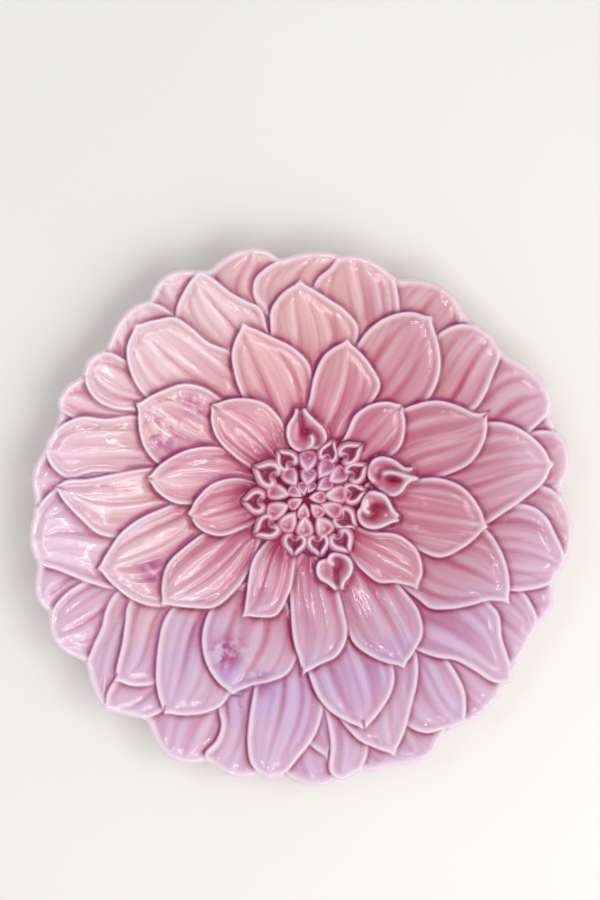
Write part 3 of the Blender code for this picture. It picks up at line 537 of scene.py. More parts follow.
class Petal(Pressed):
    """One pressed petal: two sides that meet at a tip, closed across its root."""

    def __init__(self, left, tip, right, root, size, seed):
        self.left, self.right = two_sides(left, tip, right)
        super().__init__(np.vstack([self.left, self.right[-2::-1]]), size, seed)
        self.root, self.tip = root, self.left[-1]
        self.length = np.linalg.norm(self.tip - self.root)
        self.axis = (self.tip - self.root) / self.length
        self.across = np.array((-self.axis[1], self.axis[0]))
        ways, sides = np.linspace(0.0, 0.94, 24), []
        for line in (self.left, self.right):
            along = np.maximum.accumulate((line - self.root) @ self.axis)
            sides.append(np.interp(ways * self.length, along, (line - self.root) @ self.across))
        self.spine = np.polyfit(ways, (sides[0] + sides[1]) / 2, 3)
        self.half = np.polyfit(ways, np.abs(sides[0] - sides[1]) / 2, 3)
        draw = np.random.default_rng(400 + seed)
        self.ribs = 2 * np.polyval(self.half, 0.6) / RIB_GAP * draw.uniform(0.85, 1.15)
        self.phases = draw.uniform(0, 2, 3)
        self.tone = draw.uniform(-1, 1)

    def measure(self, xy):
        """Signed distance from the outline, and distances to both sides."""
        to_left = distance_to_line(xy, self.left)
        to_right = distance_to_line(xy, self.right)
        to_root = distance_to_line(xy, np.array([self.left[0], self.right[0]]))
        sign = np.where(inside(xy, self.loop), 1.0, -1.0)
        return sign * np.minimum(np.minimum(to_left, to_right), to_root), to_left, to_right

    def press(self, xy, to_left, to_right):
        """Height over the bowl and the glaze on it, inside the petal."""
        edge, size = np.minimum(to_left, to_right), self.size
        along = np.clip((xy - self.root) @ self.axis / self.length, 0.0, 1.0)
        middle = np.polyval(self.spine, along)
        half = np.maximum(np.polyval(self.half, along), NARROWEST)
        offset = (xy - self.root) @ self.across - middle
        across = np.clip(offset / half, -1.3, 1.3)
        rib = sum(high * np.cos(math.pi * (rate * self.ribs * across + phase) + drift * along)
                  for (rate, high, drift), phase in zip(RIB_WAVES, self.phases))
        inner = edge / size                  # the depth in, for a petal of full size
        fade = smoothstep((inner - RIB_IN) / RIB_EASE) * (1 - 0.6 * smoothstep((along - 0.7) / 0.3))
        bead = hump((inner - BEAD_IN) / BEAD_HALF)
        gutter = hump((inner - GUTTER_IN) / GUTTER_HALF)
        keel = hump(offset / KEEL_HALF) * smoothstep((along - 0.6) / 0.35) * smoothstep(edge / 4.0)
        crown = (1 - across**2) * smoothstep(edge / 9.0)
        height = (LIFT_ROOT + (LIFT_TIP - LIFT_ROOT) * along
                  + size * (BEAD * bead - GUTTER * gutter + CROWN * crown + RIB * rib * fade
                            + KEEL * keel))
        # Bare on the bead and the ribs, rose between the ribs and towards the root.
        root = 1 - 0.62 * smoothstep(along / 0.95)
        ridge = 0.38 * np.maximum(rib, 0) * fade + 0.3 * keel
        valley = (0.75 * np.maximum(-rib, 0) + 0.18) * fade
        glaze = self.glazed(1 - smoothstep((inner - 1.0) / 3.3) + ridge * (1 + root) / 2,
                            valley * root + 0.2 * size * gutter)
        return height, glaze, np.column_stack([offset, along * self.length])


# Four large petals rolled in on themselves, which stand over the inner ring.
# Points are (x, y) from the heart, a hollow is (x, y, radius), and the tone is the
# tint of the glaze.
LARGE_ROLLED = (
    {
        "outline": (
            (-6.2, 54.7), (-6.6, 52.3), (-8.4, 49.2), (-10.2, 46.3), (-11.3, 43.2), (-11.5, 40),
            (-11, 36.8), (-10, 33.8), (-8.4, 31.2), (-6.2, 29.2), (-3.4, 28.2), (-0.6, 28.2),
            (2.4, 29), (5.4, 29.4), (8.2, 29.6), (11, 30.8), (13.2, 33.2), (14.3, 36.4),
            (14.2, 39), (13.2, 42.2), (11, 45), (8.2, 47.4), (4.8, 50.6), (2.4, 53.2),
            (0.6, 55.8), (-0.8, 55.8), (-2.2, 54), (-3.8, 55.4), (-5.4, 55.7),
        ),
        "folds": (
            ((-5.1, 54.2), (-5.8, 51.6), (-7.8, 48.2), (-9.4, 45.1), (-10.1, 41.6), (-10.1, 38.1),
             (-9.3, 35), (-7.7, 32.5), (-5.3, 30.5), (-2.4, 29.5), (0.6, 29.8), (2.9, 31.3),
             (4.6, 33.6), (5.1, 36), (4.3, 38.2)),
            ((-0.3, 54.4), (1.2, 52.3), (3.8, 49.6), (6.8, 46.7), (9.6, 44.2), (11.6, 41.6),
             (12.8, 38.9), (12.9, 36.3), (11.9, 33.8), (9.9, 31.7), (7.6, 30.7)),
        ),
        "slits": (
            ((-2.4, 54), (-2, 48.6), (-1.2, 44.5), (-0.5, 40.9)),
            ((1.1, 40.9), (4.3, 40.4), (6.6, 38.3), (7.3, 35.4), (6.7, 32.7)),
        ),
        "hollow": (1.2, 39.6, 3.4), "tone": 0.5,
    },
    {
        "outline": (
            (66.8, 19.4), (64, 19), (61.8, 19.4), (59.6, 21), (57.2, 23), (54.4, 24.6),
            (51, 25.6), (47.6, 26.1), (44.2, 25.2), (41, 22.9), (39, 19.9), (38.1, 16.6),
            (38.6, 13.4), (39.9, 10.9), (42.3, 8), (45.6, 4.8), (49.2, 2.2), (52.8, 0.6),
            (56.6, 0.9), (59.6, 2.5), (61.8, 4.9), (63.4, 7.3), (65, 9.1), (67, 10.3), (70, 10.9),
            (70.6, 12.3), (69.4, 13.6), (67.6, 14.6), (67, 16.2), (67.4, 17.8),
        ),
        "folds": (
            ((42.5, 10.8), (40.9, 12), (39.9, 14), (39.5, 16.5), (40.2, 19.4), (41.9, 22),
             (44.6, 23.9), (47.8, 24.7), (51, 24.2), (54.2, 23.2), (56.8, 21.6), (59.2, 19.7),
             (61.6, 18.3), (63.9, 17.9), (65.9, 18.4)),
            ((49.5, 15.2), (51.8, 15.8), (55.4, 15.4), (59.1, 14.5), (62.4, 13.5), (65.6, 12.6),
             (69, 12)),
            ((68.8, 12), (66.1, 11.2), (63.8, 10), (62.1, 8), (60.6, 5.7), (58.6, 3.6),
             (56.2, 2.3), (53.3, 2), (50.4, 3), (47, 5.4)),
        ),
        "slits": (
            ((45.4, 12.8), (48, 16.6), (51, 18), (55.4, 17.4), (59.7, 16.2), (63.5, 15.2),
             (66.6, 15.6)),
            ((50.4, 13), (54.6, 12.2), (58.8, 11.2)),
        ),
        "hollow": (54.6, 12, 3.2), "tone": 0.2,
    },
    {
        "outline": (
            (36.1, 2.2), (38.8, 4.3), (42, 4.9), (45.2, 4.3), (48.6, 3), (51.2, 1.1),
            (52.9, -1.5), (54.2, -4.3), (55.6, -6.8), (57.3, -8.8), (58.8, -10.4), (58.4, -11.8),
            (57.2, -12.4), (58.8, -13.2), (58.4, -14.6), (55.4, -15.3), (52.7, -16.5),
            (50.1, -17.8), (47, -19), (44, -19.6), (41, -19.5), (38, -18.8), (35.5, -17.3),
            (33.5, -15), (32.3, -12.6), (31.9, -10), (32.4, -7.8), (33.8, -6.2), (34.6, -4),
            (34.9, -1),
        ),
        "folds": (
            ((39.4, -9), (37.4, -7.6), (36.2, -4.8), (36.3, -1.9), (37.3, 0.9), (39, 2.9),
             (41.6, 3.5), (44.6, 2.9), (47.8, 1.7), (50.1, 0.1), (51.7, -1.9), (52.8, -4.6),
             (54, -7.2), (55.6, -9.2), (57.4, -10.6)),
            ((38.6, -5), (38.4, -2)),
            ((33.9, -7.8), (33.4, -10.4), (33.8, -13), (35.1, -15.5), (37.4, -17.1), (40.2, -18),
             (44, -18.1), (47.6, -17.3), (51, -15.8), (54.6, -14.4), (57.4, -13.8)),
        ),
        "slits": (
            ((36, -9.4), (38.2, -10.8), (40.6, -11)),
            ((41.4, -6.2), (45.1, -5.1), (48.1, -5.1), (51, -6.4)),
        ),
        "hollow": (42.9, -9.3, 3.6), "tone": 0.6,
    },
    {
        "outline": (
            (12.2, -37.2), (9, -38.5), (7.3, -41.3), (6.9, -44.6), (7.4, -47.8), (9.4, -50.8),
            (12.6, -52.8), (15, -54.2), (17, -55.8), (18.7, -57.3), (20.4, -56.9), (21.2, -55.6),
            (22.4, -57.2), (24.1, -56.8), (24.9, -54.2), (25.7, -52), (27.4, -50), (29.1, -47.6),
            (30.2, -44.8), (30.4, -41.6), (29.5, -38.5), (27.4, -35.7), (24.2, -33.9),
            (20.8, -33.1), (17.5, -33.3), (14.9, -34.9), (13.7, -36.9),
        ),
        "folds": (
            ((11.6, -38.8), (9.5, -40), (8.3, -42.7), (8.3, -45.6), (9.2, -48.1), (10.9, -50),
             (13.5, -51.5), (15.8, -53), (17.6, -54.5), (18.9, -55.8)),
            ((17.3, -40.7), (15.8, -39.8), (15.2, -38), (16.2, -36), (18.2, -34.7), (20.8, -34.5),
             (23.7, -35.3), (26.2, -36.9), (28, -39.2), (28.9, -41.8), (28.7, -44.7),
             (27.7, -47.3), (25.9, -49.7), (24.2, -51.8), (23.5, -54.1), (23.1, -55.8)),
        ),
        "slits": (
            ((19.8, -44), (20.1, -50.3), (20.5, -53.2), (20.9, -55.6)),
        ),
        "hollow": (20.6, -40.6, 3.4), "tone": -0.4,
    },
)
CURL_LIFT = 1.9
FOLD, FOLD_HALF = 2.7, 1.8               # height and half width of a rounded fold
HOLLOW, SLIT, SLIT_HALF = 2.2, 1.5, 1.5  # depths


class Rolled(Pressed):
    """A large rolled petal, pressed over the others like one of them."""

    def __init__(self, outline, folds, slits, hollow, tone, seed):
        self.line = smooth_line([HEART + point for point in (*outline, outline[0])], 3)
        super().__init__(self.line[:-1], 1.0, seed)
        self.folds, self.slits = ([smooth_line([HEART + point for point in line], 4)
                                   for line in lines] for lines in (folds, slits))
        self.hollow, self.hollow_radius = HEART + hollow[:2], hollow[2]
        self.tone, self.tip = tone, self.middle

    def measure(self, xy):
        edge = distance_to_line(xy, self.line)
        return np.where(inside(xy, self.loop), edge, -edge), edge, edge

    def press(self, xy, edge, _):
        to_fold, to_slit = (np.min([distance_to_line(xy, line) for line in lines], axis=0)
                            for lines in (self.folds, self.slits))
        away = xy - self.hollow
        deep = hump(np.hypot(*away.T) / (1.15 * self.hollow_radius))
        fold, slit = hump(to_fold / FOLD_HALF), hump(to_slit / SLIT_HALF)
        height = CURL_LIFT + FOLD * fold - HOLLOW * deep * (1 - fold) - SLIT * slit * (1 - fold)
        glaze = self.glazed(
            1.1 * hump(to_fold / 1.5) + 0.2 * hump(to_fold / 3.2) * (1 - deep),
            0.28 + np.exp(-to_slit / 3.0) + 0.9 * deep,
            np.clip(1.1 * slit + 0.85 * deep, 0, 1) * (1 - hump(to_fold / 1.4)))
        return height, glaze, away


def face_section(rho):
    """Height of the plain face, this far from the bowl's middle."""
    x = np.clip((rho - WELL_RADIUS) / (BOWL_RADIUS - WELL_RADIUS), 0.0, 1.1)
    return WELL_Z + RIM_RISE * x * x * (1.9 - 0.9 * x)


def back_section(rho):
    """Height of the back, with its foot ring."""
    x = np.clip(rho / BOWL_RADIUS, 0.0, 1.0)
    plain = face_section(rho) - (WALL + (RIM_WALL - WALL) * smoothstep((x - 0.6) / 0.4))
    beyond = np.maximum(np.abs(rho - FOOT_RADIUS) - FOOT_HALF, 0.0)
    return np.minimum(plain, beyond / FOOT_DRAFT * WELL_Z)


def tucked(left, right):
    """Both sides carried on inwards, so that the root lies hidden by the next ring."""
    middle = left[0][0] + ((right[0][0] - left[0][0] + 180) % 360 - 180) / 2
    sides = []
    for side in (left, right):
        azimuth, radius = side[0]
        turn = (middle - azimuth + 180) % 360 - 180
        sides.append(((azimuth + ROOT_GATHER * turn, ROOT_REACH * radius), *side))
    return sides


def lay_petals():
    """Every petal of the face, lowest first."""
    petals = []
    for ring, size in ((RIM_PETALS, 1.0), (OUTER_PETALS, 1.0), (UPPER_PETALS, 1.0),
                       (MIDDLE_PETALS, 0.95), (INNER_PETALS, 0.85)):
        for left, tip, right in ring:
            root = (polar(*left[0]) + polar(*right[0])) / 2
            if ring is not INNER_PETALS:
                left, right = tucked(left, right)
            petals.append(Petal([polar(*p) for p in left], polar(*tip), [polar(*p) for p in right],
                                root, size, len(petals)))
    return petals


def split_lines(petals):
    """A short line inwards from each split tip."""
    tips, lines = np.array([petal.tip for petal in petals]), []
    for azimuth, radius, way, length in SPLITS:
        tip = tips[np.argmin(np.hypot(*(tips - polar(azimuth, radius)).T))]
        lines.append(tip + np.array([[0.2], [length]]) * toward(way))
    return lines


def edge_line(out, strength, reach):
    """Stain or a groove that keeps close to an edge."""
    return strength * hump(out / reach)


def haze(out, strength, reach):
    """The same, fading slowly away from it."""
    return strength * np.exp(-out / reach)


def press_face(xy, petals, curls, florets):
    """Height and glaze of the face at each point, after every petal is pressed."""
    count = len(xy)
    plain = face_section(np.hypot(*xy.T))
    height, groove = plain.copy(), np.zeros(count)
    laid = {name: np.zeros(count) for name in GLAZE}
    sunk = {name: np.zeros(count) for name in ("rose", "pooled", "violet")}
    flow = np.zeros((count, 3))

    def stain(name, amount, where=slice(None)):
        sunk[name][where] = np.maximum(sunk[name][where], amount)

    def press(petal):
        near = np.flatnonzero(petal.near(xy, MARGIN))
        signed, to_left, to_right = petal.measure(xy[near])
        cover = smoothstep((signed + EDGE_WALL / 2) / EDGE_WALL)
        top, glaze, way = petal.press(xy[near], to_left, to_right)
        height[near] = height[near] * (1 - cover) + (plain[near] + top) * cover
        for name in GLAZE:
            laid[name][near] = laid[name][near] * (1 - cover) + glaze[name] * cover
        over = cover > 0.5
        strokes = np.full(over.sum(), STROKES_APART * petal.seed)
        flow[near[over]] = np.column_stack([way[over], strokes])
        out, size = np.maximum(-signed, 0.0), petal.size
        dip = size * (edge_line(out, GROOVE, GROOVE_WIDTH) + haze(out, UNDERCUT, UNDERCUT_WIDTH))
        tip = 1 - TIP_FADE * hump(np.hypot(*(xy[near] - petal.tip).T) / TIP_REACH)
        groove[near] = np.maximum(groove[near], dip * tip) * (1 - cover)
        # The stain goes by the side of the petal, and by the way out from the heart.
        beyond = unit(xy[near] - petal.middle)
        # Painted reflection of the sky: violet beside the edge on the side of each petal that faces up and
        # left.
        skyward = np.clip(0.3 + 0.95 * beyond @ SKYWARD, 0, 1)
        # Painted shade: the stain is laid thicker on the side of each petal that faces away from the light.
        painted_shade = 0.92 + 0.32 * beyond @ AWAY_FROM_LIGHT
        away = xy[near] - HEART
        far = smoothstep((np.hypot(*away.T) - FAR_FROM) / FAR_OVER)
        # Painted glare: the stain is laid thinner across the dish towards the upper left, where the window's
        # glare falls.
        thin = size * painted_shade * (1.08 - THIN_OUTWARDS * far) * (1 - 0.0014 * away @ AWAY_FROM_LIGHT)
        wet = {"pooled": thin * (edge_line(out, *POOL_LINE) + haze(out, *POOL_HAZE)),
               "rose": (thin * edge_line(out, *ROSE_LINE)
                        + size * (1 - 0.6 * far) * haze(out, *ROSE_HAZE)),
               "violet": skyward * hump(out / VIOLET_REACH)}
        for name, amount in wet.items():
            stain(name, amount * tip, near)
            sunk[name][near] *= 1 - cover

    for petal in petals:
        press(petal)
    for split in split_lines(petals):
        away = distance_to_line(xy, split)
        cut = hump(away / SPLIT_HALF)
        groove += SPLIT_DEPTH * cut
        laid["bare"] *= 1 - cut
        stain("rose", edge_line(away, *SPLIT_ROSE))
        stain("pooled", SPLIT_POOL * cut)
    for azimuth, radius, half in BLOTS:
        away = np.hypot(*(xy - polar(azimuth, radius)).T)
        stain("violet", edge_line(away, BLOT_STRENGTH, half))
    # The stain is laid on thick round the heart, over the petals' roots.
    out = np.hypot(*(xy - HEART).T)
    rose, *pools = (strength * smoothstep((radius - out) / width)
                    for strength, radius, width in (HEART_ROSE, *HEART_POOLS))
    stain("rose", rose)
    stain("pooled", sum(pools))
    for curl in curls:
        press(curl)
    for loop in florets:
        near = np.all((xy > loop.min(axis=0) - FLORET_MARGIN)
                      & (xy < loop.max(axis=0) + FLORET_MARGIN), axis=1)
        out = distance_to_line(xy[near], shut(loop)) * ~inside(xy[near], loop)
        stain("pooled", edge_line(out, *FLORET_POOL), near)
        stain("rose", hump(out / FLORET_ROSE_REACH) + haze(out, *FLORET_HAZE), near)
        groove[near] = np.maximum(groove[near], edge_line(out, *FLORET_GROOVE))
    laid["bare"] *= 1 - 0.9 * np.clip(1.3 * sunk["pooled"], 0, 1)
    for name, amount in sunk.items():
        laid[name] = np.clip(np.maximum(laid[name], amount), 0, 1)
    return height - groove, laid, flow


def rim_line(petals, count):
    """The scalloped edge: how far the petals reach along each azimuth."""
    azimuths = np.arange(RIM_RAYS) * 2 * math.pi / RIM_RAYS
    under = np.array(UNDER_RIM)
    reach = np.interp(np.degrees(azimuths), under[:, 0], under[:, 1], period=360.0)
    ray_x, ray_y = np.cos(azimuths), np.sin(azimuths)
    for petal in petals:
        loop = petal.loop - HEART
        for (ax, ay), (bx, by) in zip(loop, np.roll(loop, -1, axis=0)):
            cross = ray_x * (by - ay) - ray_y * (bx - ax)
            cross = np.where(np.abs(cross) < 1e-9, 1e-9, cross)
            out = (ax * (by - ay) - ay * (bx - ax)) / cross
            part = (ax * ray_y - ay * ray_x) / cross
            hit = (part >= 0) & (part <= 1) & (out > 0)
            reach = np.where(hit, np.maximum(reach, out), reach)
    for _ in range(3):
        reach = np.convolve(np.concatenate([reach[-4:], reach, reach[:4]]), np.ones(9) / 9, "valid")
    loop = HEART + reach[:, None] * np.column_stack([ray_x, ray_y])
    return even_points(shut(loop), count + 1)[:-1]


def inward(loop, depth):
    """A closed loop moved in by a depth."""
    tangent = unit(np.roll(loop, -3, axis=0) - np.roll(loop, 3, axis=0))
    return loop + depth * np.column_stack([-tangent[:, 1], tangent[:, 0]])


def beside(side, depth, step):
    """Points along a side, moved towards the petal's middle by a depth."""
    points = even_points(side, max(int(round(length_along(side)[-1] / step)), 2) + 1)
    tangent = unit(np.gradient(points, axis=0))
    return points + depth * np.column_stack([tangent[:, 1], -tangent[:, 0]])


class Scatter:
    """Points kept a little apart, found again by the square they lie in."""

    def __init__(self, gap, points=()):
        self.gap, self.points, self.squares = gap, [], {}
        for point in points:
            self.squares.setdefault(self.square(point), []).append(tuple(point))

    def square(self, point):
        return int(point[0] // self.gap), int(point[1] // self.gap)

    def add(self, point):
        """Index of the new point, or None where another is too close."""
        col, row = self.square(point)
        for c in (col - 1, col, col + 1):
            for r in (row - 1, row, row + 1):
                for x, y in self.squares.get((c, r), ()):
                    if (x - point[0])**2 + (y - point[1])**2 < self.gap**2:
                        return None
        self.squares.setdefault((col, row), []).append(tuple(point))
        self.points.append(point)
        return len(self.points) - 1


# Lines of mesh points beside each petal's edge, at these depths, and beside folds.
WALL_LINES = (0.0, -0.6, 0.6)
SHAPE_LINES = (1.25, 1.95, -1.3, 2.75, 3.8, -2.2, -3.4, 5.0)
FOLD_LINES = (0.0, -0.75, 0.75, -1.5, 1.5)
LINE_STEP, LINE_GAP = 1.3, 0.42
FOLD_STEP = 0.9
HEART_STEP, HEART_GAP = 1.15, 0.8        # open mesh over the heart
OPEN_STEP, OPEN_GAP = 1.8, 1.2           # and over the petals
HEART_REACH = 62.0


def lay_points(petals, curls, border):
    """Where the face needs points, and the lines its mesh must follow."""
    keep = inward(border, 0.9)
    scatter, links = Scatter(LINE_GAP), []
    pressed = (*petals, *curls)
    for depth in (*WALL_LINES, *SHAPE_LINES):
        for index in reversed(range(len(pressed))):
            petal = pressed[index]
            sides = ((petal.left, 1), (petal.right, -1)) if index < len(petals) else ((petal.line, 1),)
            for side, turn in sides:
                line = beside(side, turn * depth, LINE_STEP)
                signed = petal.measure(line)[0]
                seen = inside(line, keep) & (signed * np.sign(depth or 1) > abs(depth) - 0.1)
                for above in pressed[index + 1:]:
                    near = above.near(line, 0.0) & seen
                    if near.any():
                        seen[near] = ~inside(line[near], above.loop)
                last = None
                for point in line[seen]:
                    here = scatter.add(point)
                    if here is None:
                        last = None
                        continue
                    if depth in WALL_LINES and last is not None:
                        if math.dist(scatter.points[last], point) < 1.6 * LINE_STEP:
                            links.append((last, here))
                    last = here
    folds = [line for curl in curls for line in (*curl.folds, *curl.slits)]
    for depth in FOLD_LINES:
        for fold in (*folds, *split_lines(petals)):
            for point in beside(fold, depth, FOLD_STEP):
                scatter.add(point)
    points = scatter.points
    for step, gap, reach in ((HEART_STEP, HEART_GAP, HEART_REACH), (OPEN_STEP, OPEN_GAP, 1e3)):
        low, high = border.min(axis=0), border.max(axis=0)
        rows = np.arange(low[1], high[1], step * math.sqrt(0.75))
        grid = np.array([(x + (row % 2) * step / 2, y) for row, y in enumerate(rows)
                         for x in np.arange(low[0], high[0], step)])
        grid = grid[np.hypot(*(grid - HEART).T) < reach]
        filled = Scatter(gap, points)
        for point in grid[inside(grid, keep)]:
            filled.add(point)
        points = [*points, *filled.points]
    return np.array(points), links


def net(border, points, links):
    """Triangles that fill the border: coordinates, corners, and the border's own points."""
    count = len(border)
    vectors = [Vector((float(x), float(y))) for x, y in (*border, *points)]
    edges = [(a + count, b + count) for a, b in links]
    edges += [(i, (i + 1) % count) for i in range(count)]
    found, _, corners, sources, _, _ = delaunay_2d_cdt(vectors, edges, [], 0, 1e-5, True)
    found, corners = np.array([tuple(v) for v in found]), np.array(corners)
    corners = corners[inside(found[corners].mean(axis=1), border)]
    place = {}
    for new, old in enumerate(sources):
        place.update({index: new for index in old if index < count})
    return found, corners, [place[i] for i in range(count)]


FLORET_CURVE = 5                         # steps between two given points


def unit_outline(half):
    """Closed outline one unit long and wide: a half and its mirror image."""
    left = smooth_line([*half, UNIT_TIP], FLORET_CURVE)
    return np.vstack([left, left[-2:0:-1] * (1, -1)])


def set_out(outline, centre, azimuth, length, width):
    """The outline in its place on the dish."""
    out = toward(azimuth)
    side = np.array((-out[1], out[0]))
    return centre + outline[:, :1] * out * length + outline[:, 1:] * side * width


# Unit outlines, pointing along +X: a rolled petal with two lobes towards the
# heart, and a closed floret with its point towards it.
UNIT_TIP = (0.5, 0.0)
ROLLED_OUTLINE = unit_outline(((-0.31, 0.0), (-0.44, 0.16), (-0.42, 0.36), (-0.24, 0.49),
                               (0.02, 0.47), (0.28, 0.25)))
CLOSED_OUTLINE = unit_outline(((-0.5, 0.0), (-0.28, 0.24), (0.0, 0.42), (0.26, 0.47),
                               (0.44, 0.30)))

# Rolled petals: (azimuth, radius, length, width, lean) from the heart, the lean
# being how far the outward axis is turned.
SMALL_CURLS = (
    (116.5, 27.0, 15, 12.5, 14), (147.0, 28.5, 18, 15.5, 8), (184.0, 31.5, 15, 14, -4),
    (217.5, 30.5, 17, 14.5, -6), (258.0, 29.5, 15, 14, 8), (286.8, 30.6, 14.5, 13, -8),
    (311.0, 36.0, 16, 14, -8), (332.0, 29.4, 16, 14, -8), (6.0, 31.5, 15, 12.5, 4),
    (27.2, 36.6, 15, 12.5, 6), (44.4, 40.6, 17, 12.5, -10), (62.0, 33.0, 15, 11.5, 8),
)
# Closed florets: (azimuth, radius, length, width).
OUTER_BUDS = (
    (85, 22.6, 12.4, 10.2), (54.6, 22.0, 12, 9.6), (33.8, 24.6, 12, 10), (6.2, 19.4, 12.5, 9.6),
    (338, 18.0, 12.5, 9), (304, 20.8, 11.5, 10.4), (270.6, 17.6, 11.5, 9.4), (236.8, 17.4, 12, 9.6),
    (203.8, 18.0, 13, 9.6), (167.6, 16.6, 13, 9), (123.6, 15.4, 11, 9),
)
INNER_BUDS = (
    (80, 13.2, 9.6, 9.0), (33, 14.8, 9.6, 8.0), (3, 8.0, 9.2, 6.8), (315, 10.8, 9, 7.2), (266, 8.4, 8.8, 7.0),
    (209, 6.4, 8.4, 6.4), (148, 6.6, 8.4, 6.4), (98, 6.0, 7.4, 6.2), (57, 7.6, 6.6, 4.8),
)

florets = []                             # kind, place, azimuth, length, width
for azimuth, radius, length, width, lean in SMALL_CURLS:
    florets.append(("rolled", polar(azimuth, radius), azimuth + lean, length, width))
for azimuth, radius, length, width in OUTER_BUDS + INNER_BUDS:
    florets.append(("closed", polar(azimuth, radius), azimuth, length, width))
outlines = {"rolled": ROLLED_OUTLINE, "closed": CLOSED_OUTLINE}
floret_loops = [set_out(outlines[kind], *where) for kind, *where in florets]

RIM_COUNT = 900                          # mesh points round the rim
LIP_STEPS = 7
LIP_WIPED = 2.0                          # width of the pale line along the lip
LIP_THIN = 0.85                          # stain gone from that line
LIP_BARE, ROUND_BARE = 0.9, 0.85         # clay that shows on it, and round the lip
FOOT_STEPS = 180
BACK_RINGS = (                           # radius, and the points on it
    (0.01, 1), (12, 12), (24, 24), (36, 36), (47, 60), (57, 100), (88, 150), (100, 150),
    (112, 160), (124, 180), (136, 220), (146, 300), (152, 500),
)

petals = lay_petals()
curls = [Rolled(**rolled, seed=90 + place) for place, rolled in enumerate(LARGE_ROLLED)]
rim = rim_line(petals, RIM_COUNT)
border = inward(rim, LIP)
face_points, face_links = lay_points(petals, curls, border)
face_xy, face_corners, face_rim = net(border, face_points, face_links)
face_z, glaze, flow = press_face(face_xy, petals, curls, floret_loops)

# Round the lip the glaze runs thin, and the pale clay shows through.
lip = hump(distance_to_line(face_xy, shut(border)) / LIP_WIPED)
for layer_name in ("rose", "pooled", "violet"):
    glaze[layer_name] *= 1 - LIP_THIN * lip
glaze["bare"] = np.maximum(glaze["bare"], LIP_BARE * lip)

# The plain back: circles of points, close together about the foot ring. Four of
# them are edges of the foot: where its sides leave the back, and its flat face.
inner, outer = FOOT_RADIUS - FOOT_HALF, FOOT_RADIUS + FOOT_HALF
spread = np.linspace(0.0, 30.0, 1501)
feet = [inner, outer]
for turn, edge in ((-1, inner), (1, outer)):
    rho = edge + turn * spread
    left_foot = back_section(rho) < spread / FOOT_DRAFT * WELL_Z - 1e-6
    feet.insert(0 if turn < 0 else len(feet), rho[np.argmax(left_foot)])
back_points, back_links = [], []
for radius, count in (*((edge, FOOT_STEPS) for edge in feet), *BACK_RINGS):
    first, on_foot = len(back_points), radius in feet
    angles = (np.arange(count) + (0 if on_foot else 0.5)) * 2 * math.pi / count
    back_points.extend(radius * np.column_stack([np.cos(angles), np.sin(angles)]))
    if on_foot:
        back_links.extend((first + i, first + (i + 1) % count) for i in range(count))
back_xy, back_corners, back_rim = net(border, back_points, back_links)
back_z = back_section(np.hypot(*back_xy.T))


def band(upper, lower):
    """Triangles between two closed rows of as many points."""
    upper_next, lower_next = np.roll(upper, -1), np.roll(lower, -1)
    return np.vstack([np.column_stack([upper, lower, lower_next]),
                      np.column_stack([upper, lower_next, upper_next])])


# Face, back and half-round lip joined into one closed shell. The clay of a corner
# is 0 for the glazed face and lip, 1 for the back and 2 for the foot's flat face.
coords = [np.column_stack([face_xy, face_z]), np.column_stack([back_xy, back_z])]
faces = [face_corners, back_corners[:, ::-1] + len(face_xy)]
rho = np.hypot(*back_xy[back_corners].mean(axis=1).T)
clay = [np.zeros(len(face_corners), int), np.where((rho > inner) & (rho < outer), 2, 1)]
top, bottom = face_z[face_rim], back_z[back_rim]
rows = [np.array(face_rim)]
for step in range(LIP_STEPS):
    angle = math.pi * (step + 1) / (LIP_STEPS + 1)
    level = (top + bottom) / 2 + (top - bottom) / 2 * math.cos(angle)
    coords.append(np.column_stack([inward(rim, LIP * (1 - math.sin(angle))), level]))
    rows.append(len(face_xy) + len(back_xy) + step * RIM_COUNT + np.arange(RIM_COUNT))
rows.append(np.array(back_rim) + len(face_xy))
faces += [band(upper, lower) for upper, lower in zip(rows[:-1], rows[1:])]
clay.append(np.zeros(2 * RIM_COUNT * (LIP_STEPS + 1), int))
coords, faces, clay = np.vstack(coords), np.vstack(faces), np.concatenate(clay)

extra = len(coords) - len(face_xy)
glaze = {name: np.concatenate([laid, np.zeros(extra)]) for name, laid in glaze.items()}
glaze["bare"][len(face_xy) + len(back_xy):] = ROUND_BARE
flow = np.vstack([flow, np.zeros((extra, 3))])


def shell(name, coords, faces, slots, materials):
    """Smooth mesh object from millimetre coordinates."""
    mesh = bpy.data.meshes.new(name)
    mesh.from_pydata((coords * 0.001).tolist(), [], faces.tolist())
    for material in materials:
        mesh.materials.append(material)
    mesh.polygons.foreach_set("material_index", slots.astype(np.int32))
    mesh.polygons.foreach_set("use_smooth", np.ones(len(mesh.polygons), dtype=bool))
    mesh.update()
    return add(name, mesh)


def mark(mesh, name, values, kind="FLOAT"):
    """Store values on the mesh's points."""
    layer = mesh.attributes.new(name, kind, "POINT")
    field = "value" if kind == "FLOAT" else "vector"
    layer.data.foreach_set(field, np.asarray(values, np.float32).ravel())


